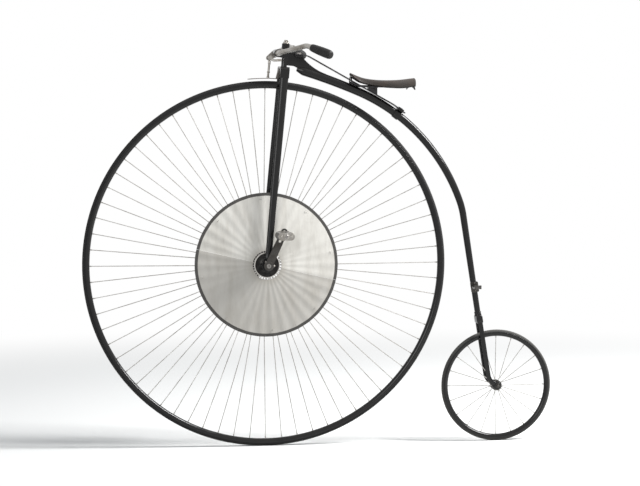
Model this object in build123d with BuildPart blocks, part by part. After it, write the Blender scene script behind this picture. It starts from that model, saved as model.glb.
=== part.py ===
"""High-wheel bicycle with a two-piece sign on its front wheel.

Millimetres. The rider faces -X, the rider's left is -Y and up is +Z. The origin is the rider's seat,
on top of the saddle. Places are worked out from the front hub: sideways views are drawn on the plane
called side (x rearward, y up), and everything that steers is drawn along the leaning steering axis.
"""

import os
from math import asin, cos, degrees, radians, sin, sqrt, tan

from build123d import *

os.makedirs("parts", exist_ok=True)

# Overall sizes
front_wheel_radius = 686.0
rear_wheel_radius = 212.5
steering_lean = 5.5  # degrees from upright
saddle_behind_hub = 470.0
saddle_above_bow = 102.0  # from the backbone's middle line to the seat

# Clearances
seat_gap = 0.3  # between curved faces that rest on each other
running_fit = 0.05  # between a shaft and its bore, on the radius

# Wheels
front_tyre_diameter = 22.0
rear_tyre_diameter = 19.0
rim_wall = 2.2
rim_depth = 3.5
front_spoke_count = 68
rear_spoke_count = 20
front_spoke_diameter = 3.0
rear_spoke_diameter = 2.6
spoke_offset_at_rim = 2.5
front_flange_radius = 48.0
front_flange_centre = 48.0
front_flange_thickness = 8.0
front_barrel_radius = 17.0
rear_flange_radius = 20.0
rear_flange_centre = 14.0
rear_flange_thickness = 3.5
rear_barrel_radius = 9.5

# Front axle, bearings, cranks and pedals
front_axle_radius = 9.0
bearing_gap = 5.0  # from the hub's flange to the bearing
bearing_inside = front_flange_centre + front_flange_thickness / 2 + bearing_gap
bearing_width = 23.0
bearing_radius = 24.0
bearing_pad_cut = 2.0  # taken off the top of the housing for the blade's foot
bearing_pad_height = bearing_radius - bearing_pad_cut
crank_gap = 3.0
crank_boss_radius = 18.0
crank_boss_width = 21.0
crank_thickness = 11.0
crank_inset = 3.0
crank_throw = 127.0
crank_angle = 25.0  # the left crank, degrees rearward of upright
crank_hub_width = 30.0
crank_tip_width = 24.0
crank_slot_width = 10.4
crank_slot_start = crank_throw - 31.0
crank_tip = crank_throw + 25.0
pedal_pin_radius = 6.0
pedal_thread_radius = 5.0
pedal_collar_radius = 10.0
pedal_collar_width = 4.0
pedal_length = 88.0
pedal_plate_length = 62.0
pedal_plate_height = 30.0
pedal_plate_thickness = 3.5
pedal_sleeve_radius = 10.0
pedal_rubber_size = 24.0
pedal_rubber_spacing = 38.0
pedal_nut_width = 7.0
pedal_nut_flats = 17.0

# Sign on the left spokes of the front wheel
sign_radius = 270.0
sign_hole_radius = 54.0
sign_thickness = 1.4
sign_seam_lean = 13.0  # degrees, front end high
sign_seam_gap = 2.0

# Fork, crown and open head, with heights along the steering axis from the hub
blade_foot_height = 5.0
blade_foot_length = 34.0
blade_foot_width = 18.0
blade_low_centre = bearing_inside + bearing_width / 2
blade_high_centre = 38.0
blade_low_size = (24.0, 12.0)
blade_high_size = (32.0, 16.0)
crown_clearance = 26.0  # over the front tyre
crown_height = 30.0
crown_socket = 12.0  # how far the crown reaches down over each blade
crown_shoulder = 16.0
crown_throat = 8.0  # how far in each blade's socket slopes up to the crown's underside
crown_bottom = front_wheel_radius + crown_clearance
crown_top = crown_bottom + crown_height
blade_top = crown_bottom - crown_socket
crown_depth = 34.0
crown_half_width = blade_high_centre + blade_high_size[1] / 2
cheek_inside = 22.0
cheek_thickness = 8.0
cheek_depth = 14.0
neck_gap = 6.0  # between the crown and the neck
neck_height = 49.0
spindle_stub = 6.0  # the spindle's end above the neck
window_gap = 5.0  # over the spindle
neck_low = crown_top + neck_gap
neck_high = neck_low + neck_height
spindle_low = crown_top + 2.0
spindle_high = neck_high + spindle_stub
window_top = spindle_high + window_gap
head_boss_height = 20.0
head_top = window_top + head_boss_height
head_boss_radius = 15.0
pivot_radius = 7.0
pivot_depth = 14.0
head_bolt_radius = 8.0
head_bolt_tip_radius = 5.5
head_bolt_tip_length = 7.0
head_nut_height = 7.0
head_nut_flats = 22.0
head_bolt_head_height = 7.0
head_bolt_flats = 14.0
neck_space = 30.0  # front to back, kept free between the cheeks

# Handlebar and grips
bar_radius = 9.5
bar_forward = 30.0
bar_below_window = 18.0  # under the top of the head's window
bar_height = window_top - bar_below_window
lug_wall = 5.0
lug_radius = bar_radius + lug_wall
bar_straight_half = 75.0
bar_bend = (46.0, 218.0, bar_height + 34.0)
bar_end = (116.0, 326.0, bar_height + 7.0)
bar_bend_radii = (120.0, 60.0)
grip_length = 112.0
grip_cap = 8.0

# Spoon brake
brake_shaft_radius = 5.0
brake_shaft_forward = bar_forward + 26.0
brake_shaft_drop = 20.0  # under the handlebar
brake_shaft_height = bar_height - brake_shaft_drop
brake_shaft_inner = 10.0
brake_shaft_straight = 64.0
brake_lever_knee = (-20.0, 134.0, bar_height - 26.0)
brake_lever_end = (60.0, 236.0, bar_height - 14.0)
brake_lever_bends = (20.0, 80.0)
brake_bracket_inner = cheek_inside + cheek_thickness + 2.0
brake_bracket_width = 8.0
brake_rod_radius = 4.0
spoon_clearance = 8.0
spoon_thickness = 3.0
spoon_width = 30.0
spoon_setback = 5.0  # from the crown to the spoon's rear end
spoon_length = 109.0
spoon_strap_width = 16.0

# Backbone, as arcs that follow each other without a corner
bow_centre = (70.0, -13.0)
bow_clearance = 14.0  # added to the wheel's radius and the tube's for the bow's radius
bow_top_angle = 67.0
bow_low_angle = 20.0
neck_arc_radius = 2250.0
neck_arc_length = 245.0
knee_radius = 300.0
leg_lean = 8.8
backbone_neck_radius = 17.0
backbone_tail_radius = 11.0
bow_radius = front_wheel_radius + bow_clearance + backbone_neck_radius
nose_radius = 9.0
nose_length = 26.0
neck_thickness = 13.0
neck_root = 110.0  # from the backbone's front end to where the neck's top edge meets the tube
spindle_radius = 9.5
spring_pad_start = 36.0
spring_pad_length = 32.0
spring_pad_drop = 7.0  # from the top of the neck
spring_pad_height = neck_high - spring_pad_drop
spring_pad_thickness = 7.0
spring_pad_width = 30.0

# Rear fork
rear_crown_length = 30.0
rear_crown_depth = 24.0
rear_crown_clearance = 26.0  # over the rear tyre
rear_collar_length = 14.0
rear_collar_wall = 2.5
rear_blade_gap = 40.0
rear_blade_thickness = 6.2
rear_blade_width = 18.0
rear_fork_reach = 70.8  # from the backbone's end rearward to the rear axle
rear_blade_corner = (-32.0, 21.5)  # from the rear axle
rear_blade_corner_radius = 45.0
rear_eye_radius = 14.0
rear_eye_thickness = 7.0
rear_axle_radius = 5.0
rear_axle_collar_radius = 8.0
rear_axle_collar_width = 1.5
rear_axle_end_radius = 4.5
rear_axle_end_length = 9.0
rear_nut_width = 7.0
rear_nut_flats = 15.0

# Mounting step on the left of the backbone
step_above_fork = 109.0
step_reach = 62.0
step_tread_width = 26.0
step_tread_thickness = 6.0
step_plate_size = (30.0, 40.0)
step_plate_thickness = 5.0
step_lip_height = 8.0

# Saddle spring and saddle, with places from the front hub
spring_width = 32.0
spring_thickness = 4.0
spring_pad_run = 16.0  # from the pad to the bend behind it
spring_bend_radii = (60.0, 200.0)
spring_bolt_flats = 16.0
spring_bolt_height = 6.0
clip_angle = 53.1  # place of the rear clip round the bow
clip_length = 24.0
clip_wall = 3.0
saddle_wire_radius = 4.0
saddle_wire_bend = 30.0
saddle_wire_spacing = 46.0
saddle_skin = 5.0
saddle_clamp_start = -80.0  # from the seat, negative is forward
saddle_clamp_length = 34.0
saddle_clamp_plate = 5.0
cantle_thickness = 4.0
cantle_depth = 20.0
cantle_end_depth = 5.0
cantle_inset = 5.0  # from the leather's edge
cantle_setback = 10.0  # from the leather's rear edge
nose_plate_depth = 14.0
nose_plate_thickness = 4.0
nose_plate_setback = 2.0  # from the leather's front edge
nose_plate_drop = 11.0
nose_plate_inset = 3.0  # from the leather's edge
nose_plate_clearance = 1.5  # under the leather's crown
nose_notch_clearance = 1.2  # round the leaf
cantle_clearance = 3.0  # under the leather's crown

# Places and directions
bow_height = bow_centre[1] + sqrt(bow_radius**2 - (saddle_behind_hub - bow_centre[0]) ** 2)
hub = Vector(-saddle_behind_hub, 0, -bow_height - saddle_above_bow)
lean_sin = sin(radians(steering_lean))
lean_cos = cos(radians(steering_lean))
steer_up = Vector(lean_sin, 0, lean_cos)
steer_back = Vector(lean_cos, 0, -lean_sin)
to_left = Vector(0, -1, 0)
side = Plane(origin=hub, x_dir=(1, 0, 0), z_dir=to_left)
fork_side = Plane(origin=hub, x_dir=steer_back, z_dir=to_left)
fork_front = Plane(origin=hub, x_dir=to_left, z_dir=-steer_back)
hands = (("left", -1), ("right", 1))


def at_fork(back, across, height):
    """A point given along the steering axis: back from it, across to the right, height from the hub."""
    return hub + steer_back * back + Vector(0, across, 0) + steer_up * height


def fork_level(height, back=0.0, across=0.0):
    """A plane square to the steering axis, x rearward and y to the right."""
    return Plane(origin=at_fork(back, across, height), x_dir=steer_back, z_dir=steer_up)


def radial_plane(centre, angle):
    """A plane through a wheel's axis, x to the left and y outwards at that angle from rearward."""
    turn = radians(angle)
    return Plane(origin=centre, x_dir=to_left, z_dir=(-sin(turn), 0, cos(turn)))


def across_plane(centre, distance):
    """A plane square to an axle, that far to the right of the middle, facing right."""
    return Plane(origin=centre + Vector(0, distance, 0), x_dir=(1, 0, 0), z_dir=(0, 1, 0))


def save(builder, name):
    builder.part.label = name
    export_step(builder.part, f"parts/{name}.step")


# Backbone's middle line, from the neck to the rear fork: x rearward and y up from the front hub
def on_circle(centre, radius, angle):
    return Vector(centre) + Vector(radius * cos(radians(angle)), radius * sin(radians(angle)))


neck_turn = degrees(neck_arc_length / neck_arc_radius)
knee_turn = bow_low_angle - leg_lean
bow_top = on_circle(bow_centre, bow_radius, bow_top_angle)
bow_low = on_circle(bow_centre, bow_radius, bow_low_angle)
neck_centre = on_circle(bow_top, neck_arc_radius, bow_top_angle + 180)
knee_centre = on_circle(bow_low, knee_radius, bow_low_angle + 180)
knee_low = on_circle(knee_centre, knee_radius, leg_lean)
rear_hub_height = rear_wheel_radius - front_wheel_radius
leg_end_height = rear_hub_height + rear_wheel_radius + rear_crown_clearance + rear_crown_length
leg_end = Vector(knee_low.X + (knee_low.Y - leg_end_height) * tan(radians(leg_lean)), leg_end_height)
rear_hub = hub + Vector(leg_end.X + rear_fork_reach, 0, rear_hub_height)
neck_run = neck_arc_length
bow_run = bow_radius * radians(bow_top_angle - bow_low_angle)
knee_run = knee_radius * radians(knee_turn)
leg_run = (leg_end - knee_low).length
spine_length = neck_run + bow_run + knee_run + leg_run


def spine_at(distance):
    """The plane square to the backbone at that distance from its front end, y pointing left."""
    if distance < neck_run:
        angle = bow_top_angle + degrees((neck_run - distance) / neck_arc_radius)
        point = on_circle(neck_centre, neck_arc_radius, angle)
    elif distance < neck_run + bow_run:
        angle = bow_top_angle - degrees((distance - neck_run) / bow_radius)
        point = on_circle(bow_centre, bow_radius, angle)
    elif distance < neck_run + bow_run + knee_run:
        angle = bow_low_angle - degrees((distance - neck_run - bow_run) / knee_radius)
        point = on_circle(knee_centre, knee_radius, angle)
    else:
        angle = leg_lean
        down = Vector(sin(radians(leg_lean)), -cos(radians(leg_lean)))
        point = knee_low + down * (distance - neck_run - bow_run - knee_run)
    outward = Vector(cos(radians(angle)), 0, sin(radians(angle)))
    onward = Vector(sin(radians(angle)), 0, -cos(radians(angle)))
    return Plane(origin=side.from_local_coords(point), x_dir=outward, z_dir=onward)


def backbone_radius(distance):
    return backbone_neck_radius + (backbone_tail_radius - backbone_neck_radius) * distance / spine_length


# Tyres, rims and spokes of both wheels
# columns: name, centre, outer radius, tyre diameter, spokes, spoke diameter, flange radius, flange centre
wheels = (
    (
        "front", hub, front_wheel_radius, front_tyre_diameter,
        front_spoke_count, front_spoke_diameter, front_flange_radius, front_flange_centre,
    ),
    (
        "rear", rear_hub, rear_wheel_radius, rear_tyre_diameter,
        rear_spoke_count, rear_spoke_diameter, rear_flange_radius, rear_flange_centre,
    ),
)
rim_inner_radius = {}
for name, centre, outer, tyre_diameter, count, spoke_diameter, flange, flange_y in wheels:
    tyre_radius = tyre_diameter / 2
    tyre_circle = outer - tyre_radius
    groove = tyre_radius + seat_gap
    rim_outer = groove + rim_wall
    rim_inner_radius[name] = tyre_circle - rim_outer - rim_depth
    wheel_axis = Axis(centre, to_left)

    with BuildPart() as tyre:
        with BuildSketch(radial_plane(centre, 90)):
            with Locations((0, tyre_circle)):
                Circle(tyre_radius)
        revolve(axis=wheel_axis)
    save(tyre, f"{name}_tyre")

    with BuildPart() as rim:
        with BuildSketch(radial_plane(centre, 90)):
            with Locations((0, tyre_circle - rim_depth)):
                Circle(rim_outer)
            with Locations((0, tyre_circle)):
                Circle(groove, mode=Mode.SUBTRACT)
                Rectangle(
                    3 * rim_outer, 2 * rim_outer, align=(Align.CENTER, Align.MIN), mode=Mode.SUBTRACT
                )
        revolve(axis=wheel_axis)
    save(rim, f"{name}_rim")

    spoke_planes = []
    spoke_low = flange + seat_gap
    spoke_high = rim_inner_radius[name] - seat_gap
    for index in range(count):
        turn = radians(360 / count * index)
        hand = 1 if index % 2 else -1
        outward = Vector(cos(turn), 0, sin(turn))
        start = centre + outward * spoke_low + Vector(0, hand * flange_y, 0)
        finish = centre + outward * spoke_high + Vector(0, hand * spoke_offset_at_rim, 0)
        spoke_planes.append(Plane(origin=start, x_dir=outward.cross(finish - start), z_dir=finish - start))
    spoke_length = sqrt((spoke_high - spoke_low) ** 2 + (flange_y - spoke_offset_at_rim) ** 2)
    with BuildPart() as spokes:
        with BuildSketch(*spoke_planes):
            Circle(spoke_diameter / 2)
        extrude(amount=spoke_length)
    save(spokes, f"{name}_spokes")

# Front hub: two flanges on a waisted barrel, with a shoulder outside each flange
flange_inside = front_flange_centre - front_flange_thickness / 2
flange_outside = front_flange_centre + front_flange_thickness / 2
hub_end = bearing_inside - 1.0
hub_bore = front_axle_radius + running_fit
with BuildPart() as front_hub:
    with BuildSketch(radial_plane(hub, 90)):
        with BuildLine():
            Polyline(
                (0, hub_bore),
                (hub_end, hub_bore),
                (hub_end, front_barrel_radius),
                (flange_outside, front_barrel_radius + 5),
                (flange_outside, front_flange_radius),
                (flange_inside, front_flange_radius),
                (flange_inside, front_flange_radius / 2 + 6),
                (flange_inside - 14, front_barrel_radius),
                (0, front_barrel_radius),
                close=True,
            )
        make_face()
    revolve(axis=Axis(hub, to_left))
    mirror(about=Plane(origin=hub, z_dir=(0, 1, 0)))
save(front_hub, "front_hub")

crank_inside = bearing_inside + bearing_width + crank_gap
axle_end = crank_inside + crank_boss_width
with BuildPart() as front_axle:
    with BuildSketch(across_plane(hub, -axle_end)):
        Circle(front_axle_radius)
    extrude(amount=2 * axle_end)
    chamfer(front_axle.edges().filter_by(GeomType.CIRCLE), 1)
save(front_axle, "front_axle")

# Rear hub, with its axle fixed in the fork
rear_hub_end = rear_blade_gap / 2 - rear_axle_collar_width - seat_gap
with BuildPart() as rear_hub_shell:
    with BuildSketch(radial_plane(rear_hub, 90)):
        with BuildLine():
            Polyline(
                (0, rear_axle_radius + running_fit),
                (rear_hub_end, rear_axle_radius + running_fit),
                (rear_hub_end, rear_barrel_radius),
                (rear_flange_centre + rear_flange_thickness / 2, rear_barrel_radius),
                (rear_flange_centre + rear_flange_thickness / 2, rear_flange_radius),
                (rear_flange_centre - rear_flange_thickness / 2, rear_flange_radius),
                (rear_flange_centre - rear_flange_thickness, rear_barrel_radius + 2),
                (0, rear_barrel_radius),
                close=True,
            )
        make_face()
    revolve(axis=Axis(rear_hub, to_left))
    mirror(about=Plane(origin=rear_hub, z_dir=(0, 1, 0)))
save(rear_hub_shell, "rear_hub")

rear_blade_outside = rear_blade_gap / 2 + rear_eye_thickness
rear_nut_outside = rear_blade_outside + rear_nut_width
rear_axle_half = rear_nut_outside + rear_axle_end_length
with BuildPart() as rear_axle:
    with BuildSketch(across_plane(rear_hub, -rear_axle_half)):
        Circle(rear_axle_end_radius)
    extrude(amount=2 * rear_axle_half)
    chamfer(rear_axle.edges().filter_by(GeomType.CIRCLE), 1)
    with BuildSketch(across_plane(rear_hub, -rear_nut_outside)):
        Circle(rear_axle_radius)
    extrude(amount=2 * rear_nut_outside)
    for hand in (-1, 1):
        with BuildSketch(across_plane(rear_hub, hand * (rear_blade_gap - rear_axle_collar_width) / 2)):
            Circle(rear_axle_collar_radius)
        extrude(amount=rear_axle_collar_width / 2, both=True)
save(rear_axle, "rear_axle")

with BuildPart() as rear_nuts:
    for hand in (-1, 1):
        with BuildSketch(across_plane(rear_hub, hand * rear_blade_outside)):
            RegularPolygon(rear_nut_flats / 2, 6, major_radius=False)
            Circle(rear_axle_radius + running_fit, mode=Mode.SUBTRACT)
        extrude(amount=hand * rear_nut_width)
save(rear_nuts, "rear_axle_nuts")

# Sign: two half cones of sheet lying on the left spokes
spoke_run = rim_inner_radius["front"] - seat_gap - front_flange_radius - seat_gap
spoke_slope = (front_flange_centre - spoke_offset_at_rim) / spoke_run
sheet_lift = (front_spoke_diameter / 2) * sqrt(1 + spoke_slope**2) + seat_gap


def sign_lift(radius):
    """How far left of the wheel's middle the sheet's inner face lies at that radius."""
    return front_flange_centre - (radius - front_flange_radius) * spoke_slope + sheet_lift


seam_half_angle = degrees(sign_seam_gap / 2 / sign_radius)
for name, start_angle in (("sign_upper", -sign_seam_lean), ("sign_lower", 180 - sign_seam_lean)):
    with BuildPart() as sheet:
        with BuildSketch(radial_plane(hub, start_angle + seam_half_angle)):
            with BuildLine():
                Polyline(
                    (sign_lift(sign_hole_radius), sign_hole_radius),
                    (sign_lift(sign_radius), sign_radius),
                    (sign_lift(sign_radius) + sign_thickness, sign_radius),
                    (sign_lift(sign_hole_radius) + sign_thickness, sign_hole_radius),
                    close=True,
                )
            make_face()
        revolve(axis=Axis(hub, to_left), revolution_arc=180 - 2 * seam_half_angle)
    save(sheet, name)

# Bearing housings, cranks and pedals of both sides
for hand_name, hand in hands:
    crank_turn = radians(90 - crank_angle if hand < 0 else 270 - crank_angle)
    crank_along = Vector(cos(crank_turn), 0, sin(crank_turn))
    crank_plane = Plane(
        origin=hub + Vector(0, hand * (crank_inside + crank_inset), 0),
        x_dir=crank_along,
        z_dir=(0, hand, 0),
    )
    pedal_centre = hub + crank_along * crank_throw
    pedal_start = crank_inside + crank_inset + crank_thickness
    collar_end = pedal_start + pedal_collar_width
    pedal_inside = collar_end + 1.0
    pedal_end = pedal_inside + pedal_length

    with BuildPart() as bearing:
        with BuildSketch(across_plane(hub, hand * bearing_inside)):
            Circle(bearing_radius)
            Circle(front_axle_radius + running_fit, mode=Mode.SUBTRACT)
        extrude(amount=hand * bearing_width)
        with BuildSketch(fork_level(bearing_pad_height)):
            Rectangle(4 * bearing_radius, 4 * axle_end)
        extrude(amount=bearing_radius, mode=Mode.SUBTRACT)
    save(bearing, f"bearing_{hand_name}")

    with BuildPart() as crank:
        with BuildSketch(Plane(
            origin=hub + Vector(0, hand * crank_inside, 0), x_dir=crank_along, z_dir=(0, hand, 0)
        )):
            Circle(crank_boss_radius)
        extrude(amount=crank_boss_width)
        with BuildSketch(crank_plane):
            with BuildLine():
                Polyline(
                    (0, crank_hub_width / 2),
                    (crank_tip - crank_tip_width / 2, crank_tip_width / 2),
                    (crank_tip - crank_tip_width / 2, -crank_tip_width / 2),
                    (0, -crank_hub_width / 2),
                    close=True,
                )
            make_face()
            with Locations((crank_tip - crank_tip_width / 2, 0)):
                Circle(crank_tip_width / 2)
        extrude(amount=crank_thickness)
        with BuildSketch(crank_plane):
            slot_middle = (crank_slot_start + crank_tip - crank_tip_width / 2 + crank_slot_width / 2) / 2
            with Locations((slot_middle, 0)):
                SlotOverall(2 * (slot_middle - crank_slot_start), crank_slot_width)
        extrude(amount=crank_thickness, mode=Mode.SUBTRACT)
        with BuildSketch(across_plane(hub, 0)):
            Circle(front_axle_radius + running_fit)
        extrude(amount=hand * 2 * axle_end, mode=Mode.SUBTRACT)
    save(crank, f"crank_{hand_name}")

    with BuildPart() as pin:
        with BuildSketch(across_plane(pedal_centre, hand * pedal_start)):
            Circle(pedal_collar_radius)
        extrude(amount=hand * pedal_collar_width)
        with BuildSketch(across_plane(pedal_centre, hand * collar_end)):
            Circle(pedal_pin_radius)
        extrude(amount=hand * (pedal_end - collar_end + 3))
        with BuildSketch(across_plane(pedal_centre, hand * (pedal_start - crank_thickness))):
            Circle(pedal_thread_radius)
        extrude(amount=hand * crank_thickness)
        with BuildSketch(across_plane(pedal_centre, hand * (pedal_start - crank_thickness))):
            RegularPolygon(pedal_nut_flats / 2, 6, major_radius=False)
        extrude(amount=-hand * pedal_nut_width)
    save(pin, f"pedal_pin_{hand_name}")

    with BuildPart() as pedal_frame:
        with BuildSketch(across_plane(pedal_centre, hand * pedal_inside)):
            Circle(pedal_sleeve_radius)
        extrude(amount=hand * pedal_length)
        for plate_start in (pedal_inside, pedal_end - pedal_plate_thickness):
            with BuildSketch(across_plane(pedal_centre, hand * plate_start)):
                SlotOverall(pedal_plate_length, pedal_plate_height)
            extrude(amount=hand * pedal_plate_thickness)
        with BuildSketch(across_plane(pedal_centre, 0)):
            Circle(pedal_pin_radius + running_fit)
        extrude(amount=hand * 2 * pedal_end, mode=Mode.SUBTRACT)
    save(pedal_frame, f"pedal_frame_{hand_name}")

    with BuildPart() as rubbers:
        rubber_start = pedal_inside + pedal_plate_thickness
        with BuildSketch(across_plane(pedal_centre, hand * rubber_start)):
            with Locations((-pedal_rubber_spacing / 2, 0), (pedal_rubber_spacing / 2, 0)):
                RectangleRounded(pedal_rubber_size - 8, pedal_rubber_size, 3)
        extrude(amount=hand * (pedal_length - 2 * pedal_plate_thickness))
    save(rubbers, f"pedal_rubbers_{hand_name}")

# Fork blades: oval, wider and closer together at the top, each with a foot on its bearing
for hand_name, hand in hands:
    foot_top = bearing_pad_height + blade_foot_height
    with BuildPart() as blade:
        with BuildSketch(fork_level(foot_top, across=hand * blade_low_centre)):
            Ellipse(blade_low_size[0] / 2, blade_low_size[1] / 2)
        with BuildSketch(fork_level(blade_top, across=hand * blade_high_centre)):
            Ellipse(blade_high_size[0] / 2, blade_high_size[1] / 2)
        loft()
        with BuildSketch(fork_level(bearing_pad_height, across=hand * blade_low_centre)):
            RectangleRounded(blade_foot_length, blade_foot_width, 4)
        extrude(amount=blade_foot_height)
    save(blade, f"fork_blade_{hand_name}")

# Open head: a crown over the wheel, two cheeks beside the neck, a boss on top and the handlebar's lug
with BuildPart() as head:
    with BuildSketch(fork_front) as crown:
        with BuildLine():
            socket_inside = 2 * blade_high_centre - crown_half_width
            Polyline(
                (crown_half_width, blade_top),
                (crown_half_width, crown_top),
                (-crown_half_width, crown_top),
                (-crown_half_width, blade_top),
                (-socket_inside, blade_top),
                (-socket_inside + crown_throat, crown_bottom),
                (socket_inside - crown_throat, crown_bottom),
                (socket_inside, blade_top),
                close=True,
            )
        make_face()
        fillet(crown.vertices().group_by(Axis.Y)[-1], crown_shoulder)
    extrude(amount=crown_depth / 2, both=True)
    cheek_outside = cheek_inside + cheek_thickness
    with BuildSketch(fork_front):
        with Locations((0, crown_top)):
            Rectangle(2 * cheek_outside, head_top - crown_top, align=(Align.CENTER, Align.MIN))
            Rectangle(
                2 * cheek_inside, window_top - crown_top,
                align=(Align.CENTER, Align.MIN), mode=Mode.SUBTRACT,
            )
    extrude(amount=cheek_depth / 2, both=True)
    with BuildSketch(fork_level(window_top)):
        Circle(head_boss_radius)
    extrude(amount=head_top - window_top)
    with BuildSketch(fork_side.offset(-cheek_outside)):
        with BuildLine():
            Polyline(
                (0, bar_height - lug_radius),
                (-bar_forward, bar_height - lug_radius),
                (-bar_forward, bar_height + lug_radius),
                (0, bar_height + lug_radius),
                close=True,
            )
        make_face()
    extrude(amount=2 * cheek_outside)
    with BuildSketch(fork_side.offset(-cheek_inside)):
        with Locations((0, crown_top)):
            Rectangle(neck_space, window_top - crown_top, align=(Align.CENTER, Align.MIN))
    extrude(amount=2 * cheek_inside, mode=Mode.SUBTRACT)
    with BuildSketch(fork_side.offset(-cheek_outside)):
        with Locations((-bar_forward, bar_height)):
            Circle(lug_radius)
    extrude(amount=2 * cheek_outside)
    with BuildSketch(fork_side.offset(-cheek_outside)):
        with Locations((-bar_forward, bar_height)):
            Circle(bar_radius + running_fit)
    extrude(amount=2 * cheek_outside, mode=Mode.SUBTRACT)
    with BuildSketch(fork_level(window_top)):
        Circle(head_bolt_radius + running_fit)
    extrude(amount=head_top - window_top, mode=Mode.SUBTRACT)
    with BuildSketch(fork_level(crown_top)):
        Circle(pivot_radius + running_fit)
    extrude(amount=-pivot_depth - 1, mode=Mode.SUBTRACT)
save(head, "fork_head")

with BuildPart() as head_bolt:
    bolt_top = head_top + head_nut_height
    with BuildSketch(fork_level(spindle_high + 1)):
        Circle(head_bolt_radius)
    extrude(amount=bolt_top - spindle_high - 1)
    with BuildSketch(fork_level(spindle_high + 1)):
        Circle(head_bolt_tip_radius)
    extrude(amount=-head_bolt_tip_length)
    with BuildSketch(fork_level(bolt_top)):
        RegularPolygon(head_bolt_flats / 2, 4, major_radius=False)
    extrude(amount=head_bolt_head_height)
save(head_bolt, "head_bolt")

with BuildPart() as head_nut:
    with BuildSketch(fork_level(head_top)):
        RegularPolygon(head_nut_flats / 2, 6, major_radius=False)
        Circle(head_bolt_radius + running_fit, mode=Mode.SUBTRACT)
    extrude(amount=head_nut_height)
save(head_nut, "head_lock_nut")

# Handlebar, bent back to the grips
bar_route = [
    (bar_end[0], -bar_end[1], bar_end[2]),
    (bar_bend[0], -bar_bend[1], bar_bend[2]),
    (-bar_forward, -bar_straight_half, bar_height),
    (-bar_forward, bar_straight_half, bar_height),
    bar_bend,
    bar_end,
]
bar_points = [at_fork(*place) for place in bar_route]
with BuildPart() as handlebar:
    with BuildLine():
        FilletPolyline(*bar_points, radius=[*reversed(bar_bend_radii), *bar_bend_radii])
    with BuildSketch(Plane(origin=bar_points[0], z_dir=bar_points[1] - bar_points[0])):
        Circle(bar_radius)
    sweep()
save(handlebar, "handlebar")

# columns: share of the grip's length, thickness over the bar
grip_profile = ((0, 3.0), (0.09, 5.0), (0.36, 5.5), (0.71, 7.5), (0.93, 6.5), (1, 1.5))
for hand_name, end_point, bend_point in (
    ("left", bar_points[0], bar_points[1]),
    ("right", bar_points[-1], bar_points[-2]),
):
    along = (end_point - bend_point).normalized()
    grip_start = end_point - along * (grip_length - grip_cap)
    grip_plane = Plane(origin=grip_start, x_dir=along, z_dir=along.cross(steer_up))
    with BuildPart() as grip:
        with BuildSketch(grip_plane):
            with BuildLine():
                Polyline(
                    (0, bar_radius + running_fit),
                    *[(grip_length * share, bar_radius + rubber) for share, rubber in grip_profile],
                    (grip_length, 0),
                    (grip_length - grip_cap + seat_gap, 0),
                    (grip_length - grip_cap + seat_gap, bar_radius + running_fit),
                    close=True,
                )
            make_face()
        revolve(axis=Axis(grip_start, along))
    save(grip, f"grip_{hand_name}")

# Spoon brake: a shaft in an eye under the bar, its lever below the right grip, a rod and the spoon
with BuildPart() as brake_lever:
    lever_route = [
        (-brake_shaft_forward, -brake_shaft_inner, brake_shaft_height),
        (-brake_shaft_forward, brake_shaft_straight, brake_shaft_height),
        brake_lever_knee,
        brake_lever_end,
    ]
    lever_points = [at_fork(*place) for place in lever_route]
    with BuildLine():
        FilletPolyline(*lever_points, radius=brake_lever_bends)
    with BuildSketch(Plane(origin=lever_points[0], z_dir=lever_points[1] - lever_points[0])):
        Circle(brake_shaft_radius)
    sweep()
save(brake_lever, "brake_lever")

with BuildPart() as brake_bracket:
    with BuildSketch(fork_side.offset(-brake_bracket_inner)):
        with Locations((-bar_forward, bar_height)):
            Circle(lug_radius)
        with Locations((-brake_shaft_forward, brake_shaft_height)):
            Circle(brake_shaft_radius + 4)
        make_hull()
        with Locations((-bar_forward, bar_height)):
            Circle(bar_radius + running_fit, mode=Mode.SUBTRACT)
        with Locations((-brake_shaft_forward, brake_shaft_height)):
            Circle(brake_shaft_radius + running_fit, mode=Mode.SUBTRACT)
    extrude(amount=-brake_bracket_width)
save(brake_bracket, "brake_bracket")

spoon_radius = front_wheel_radius + spoon_clearance
spoon_start = 90 + degrees(asin((crown_depth / 2 + spoon_setback) / spoon_radius))
spoon_turn = degrees(spoon_length / spoon_radius)
rod_foot = sqrt((spoon_radius + spoon_thickness) ** 2 - (brake_shaft_forward - brake_rod_radius) ** 2)
with BuildPart() as brake_rod:
    with BuildSketch(fork_level(rod_foot + seat_gap, back=-brake_shaft_forward)):
        Circle(brake_rod_radius)
    extrude(amount=brake_shaft_height - brake_shaft_radius - 2 * seat_gap - rod_foot)
save(brake_rod, "brake_rod")

with BuildPart() as brake_spoon:
    with BuildSketch(fork_side.offset(-spoon_width / 2)):
        with BuildLine():
            inner = CenterArc((0, 0), spoon_radius, spoon_start, spoon_turn)
            outer = CenterArc((0, 0), spoon_radius + spoon_thickness, spoon_start, spoon_turn)
            Line(inner @ 0, outer @ 0)
            Line(inner @ 1, outer @ 1)
        make_face()
    extrude(amount=spoon_width)
    with BuildSketch(fork_side.offset(-spoon_strap_width / 2)):
        strap_back = -crown_depth / 2 - seat_gap
        with BuildLine():
            Polyline(
                (strap_back, crown_top - 8),
                (strap_back - spoon_thickness, crown_top - 8),
                (strap_back - 3 * spoon_thickness, spoon_radius + spoon_thickness / 2),
                (strap_back, spoon_radius + spoon_thickness / 2),
                close=True,
            )
        make_face()
    extrude(amount=spoon_strap_width)
save(brake_spoon, "brake_spoon")


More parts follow.
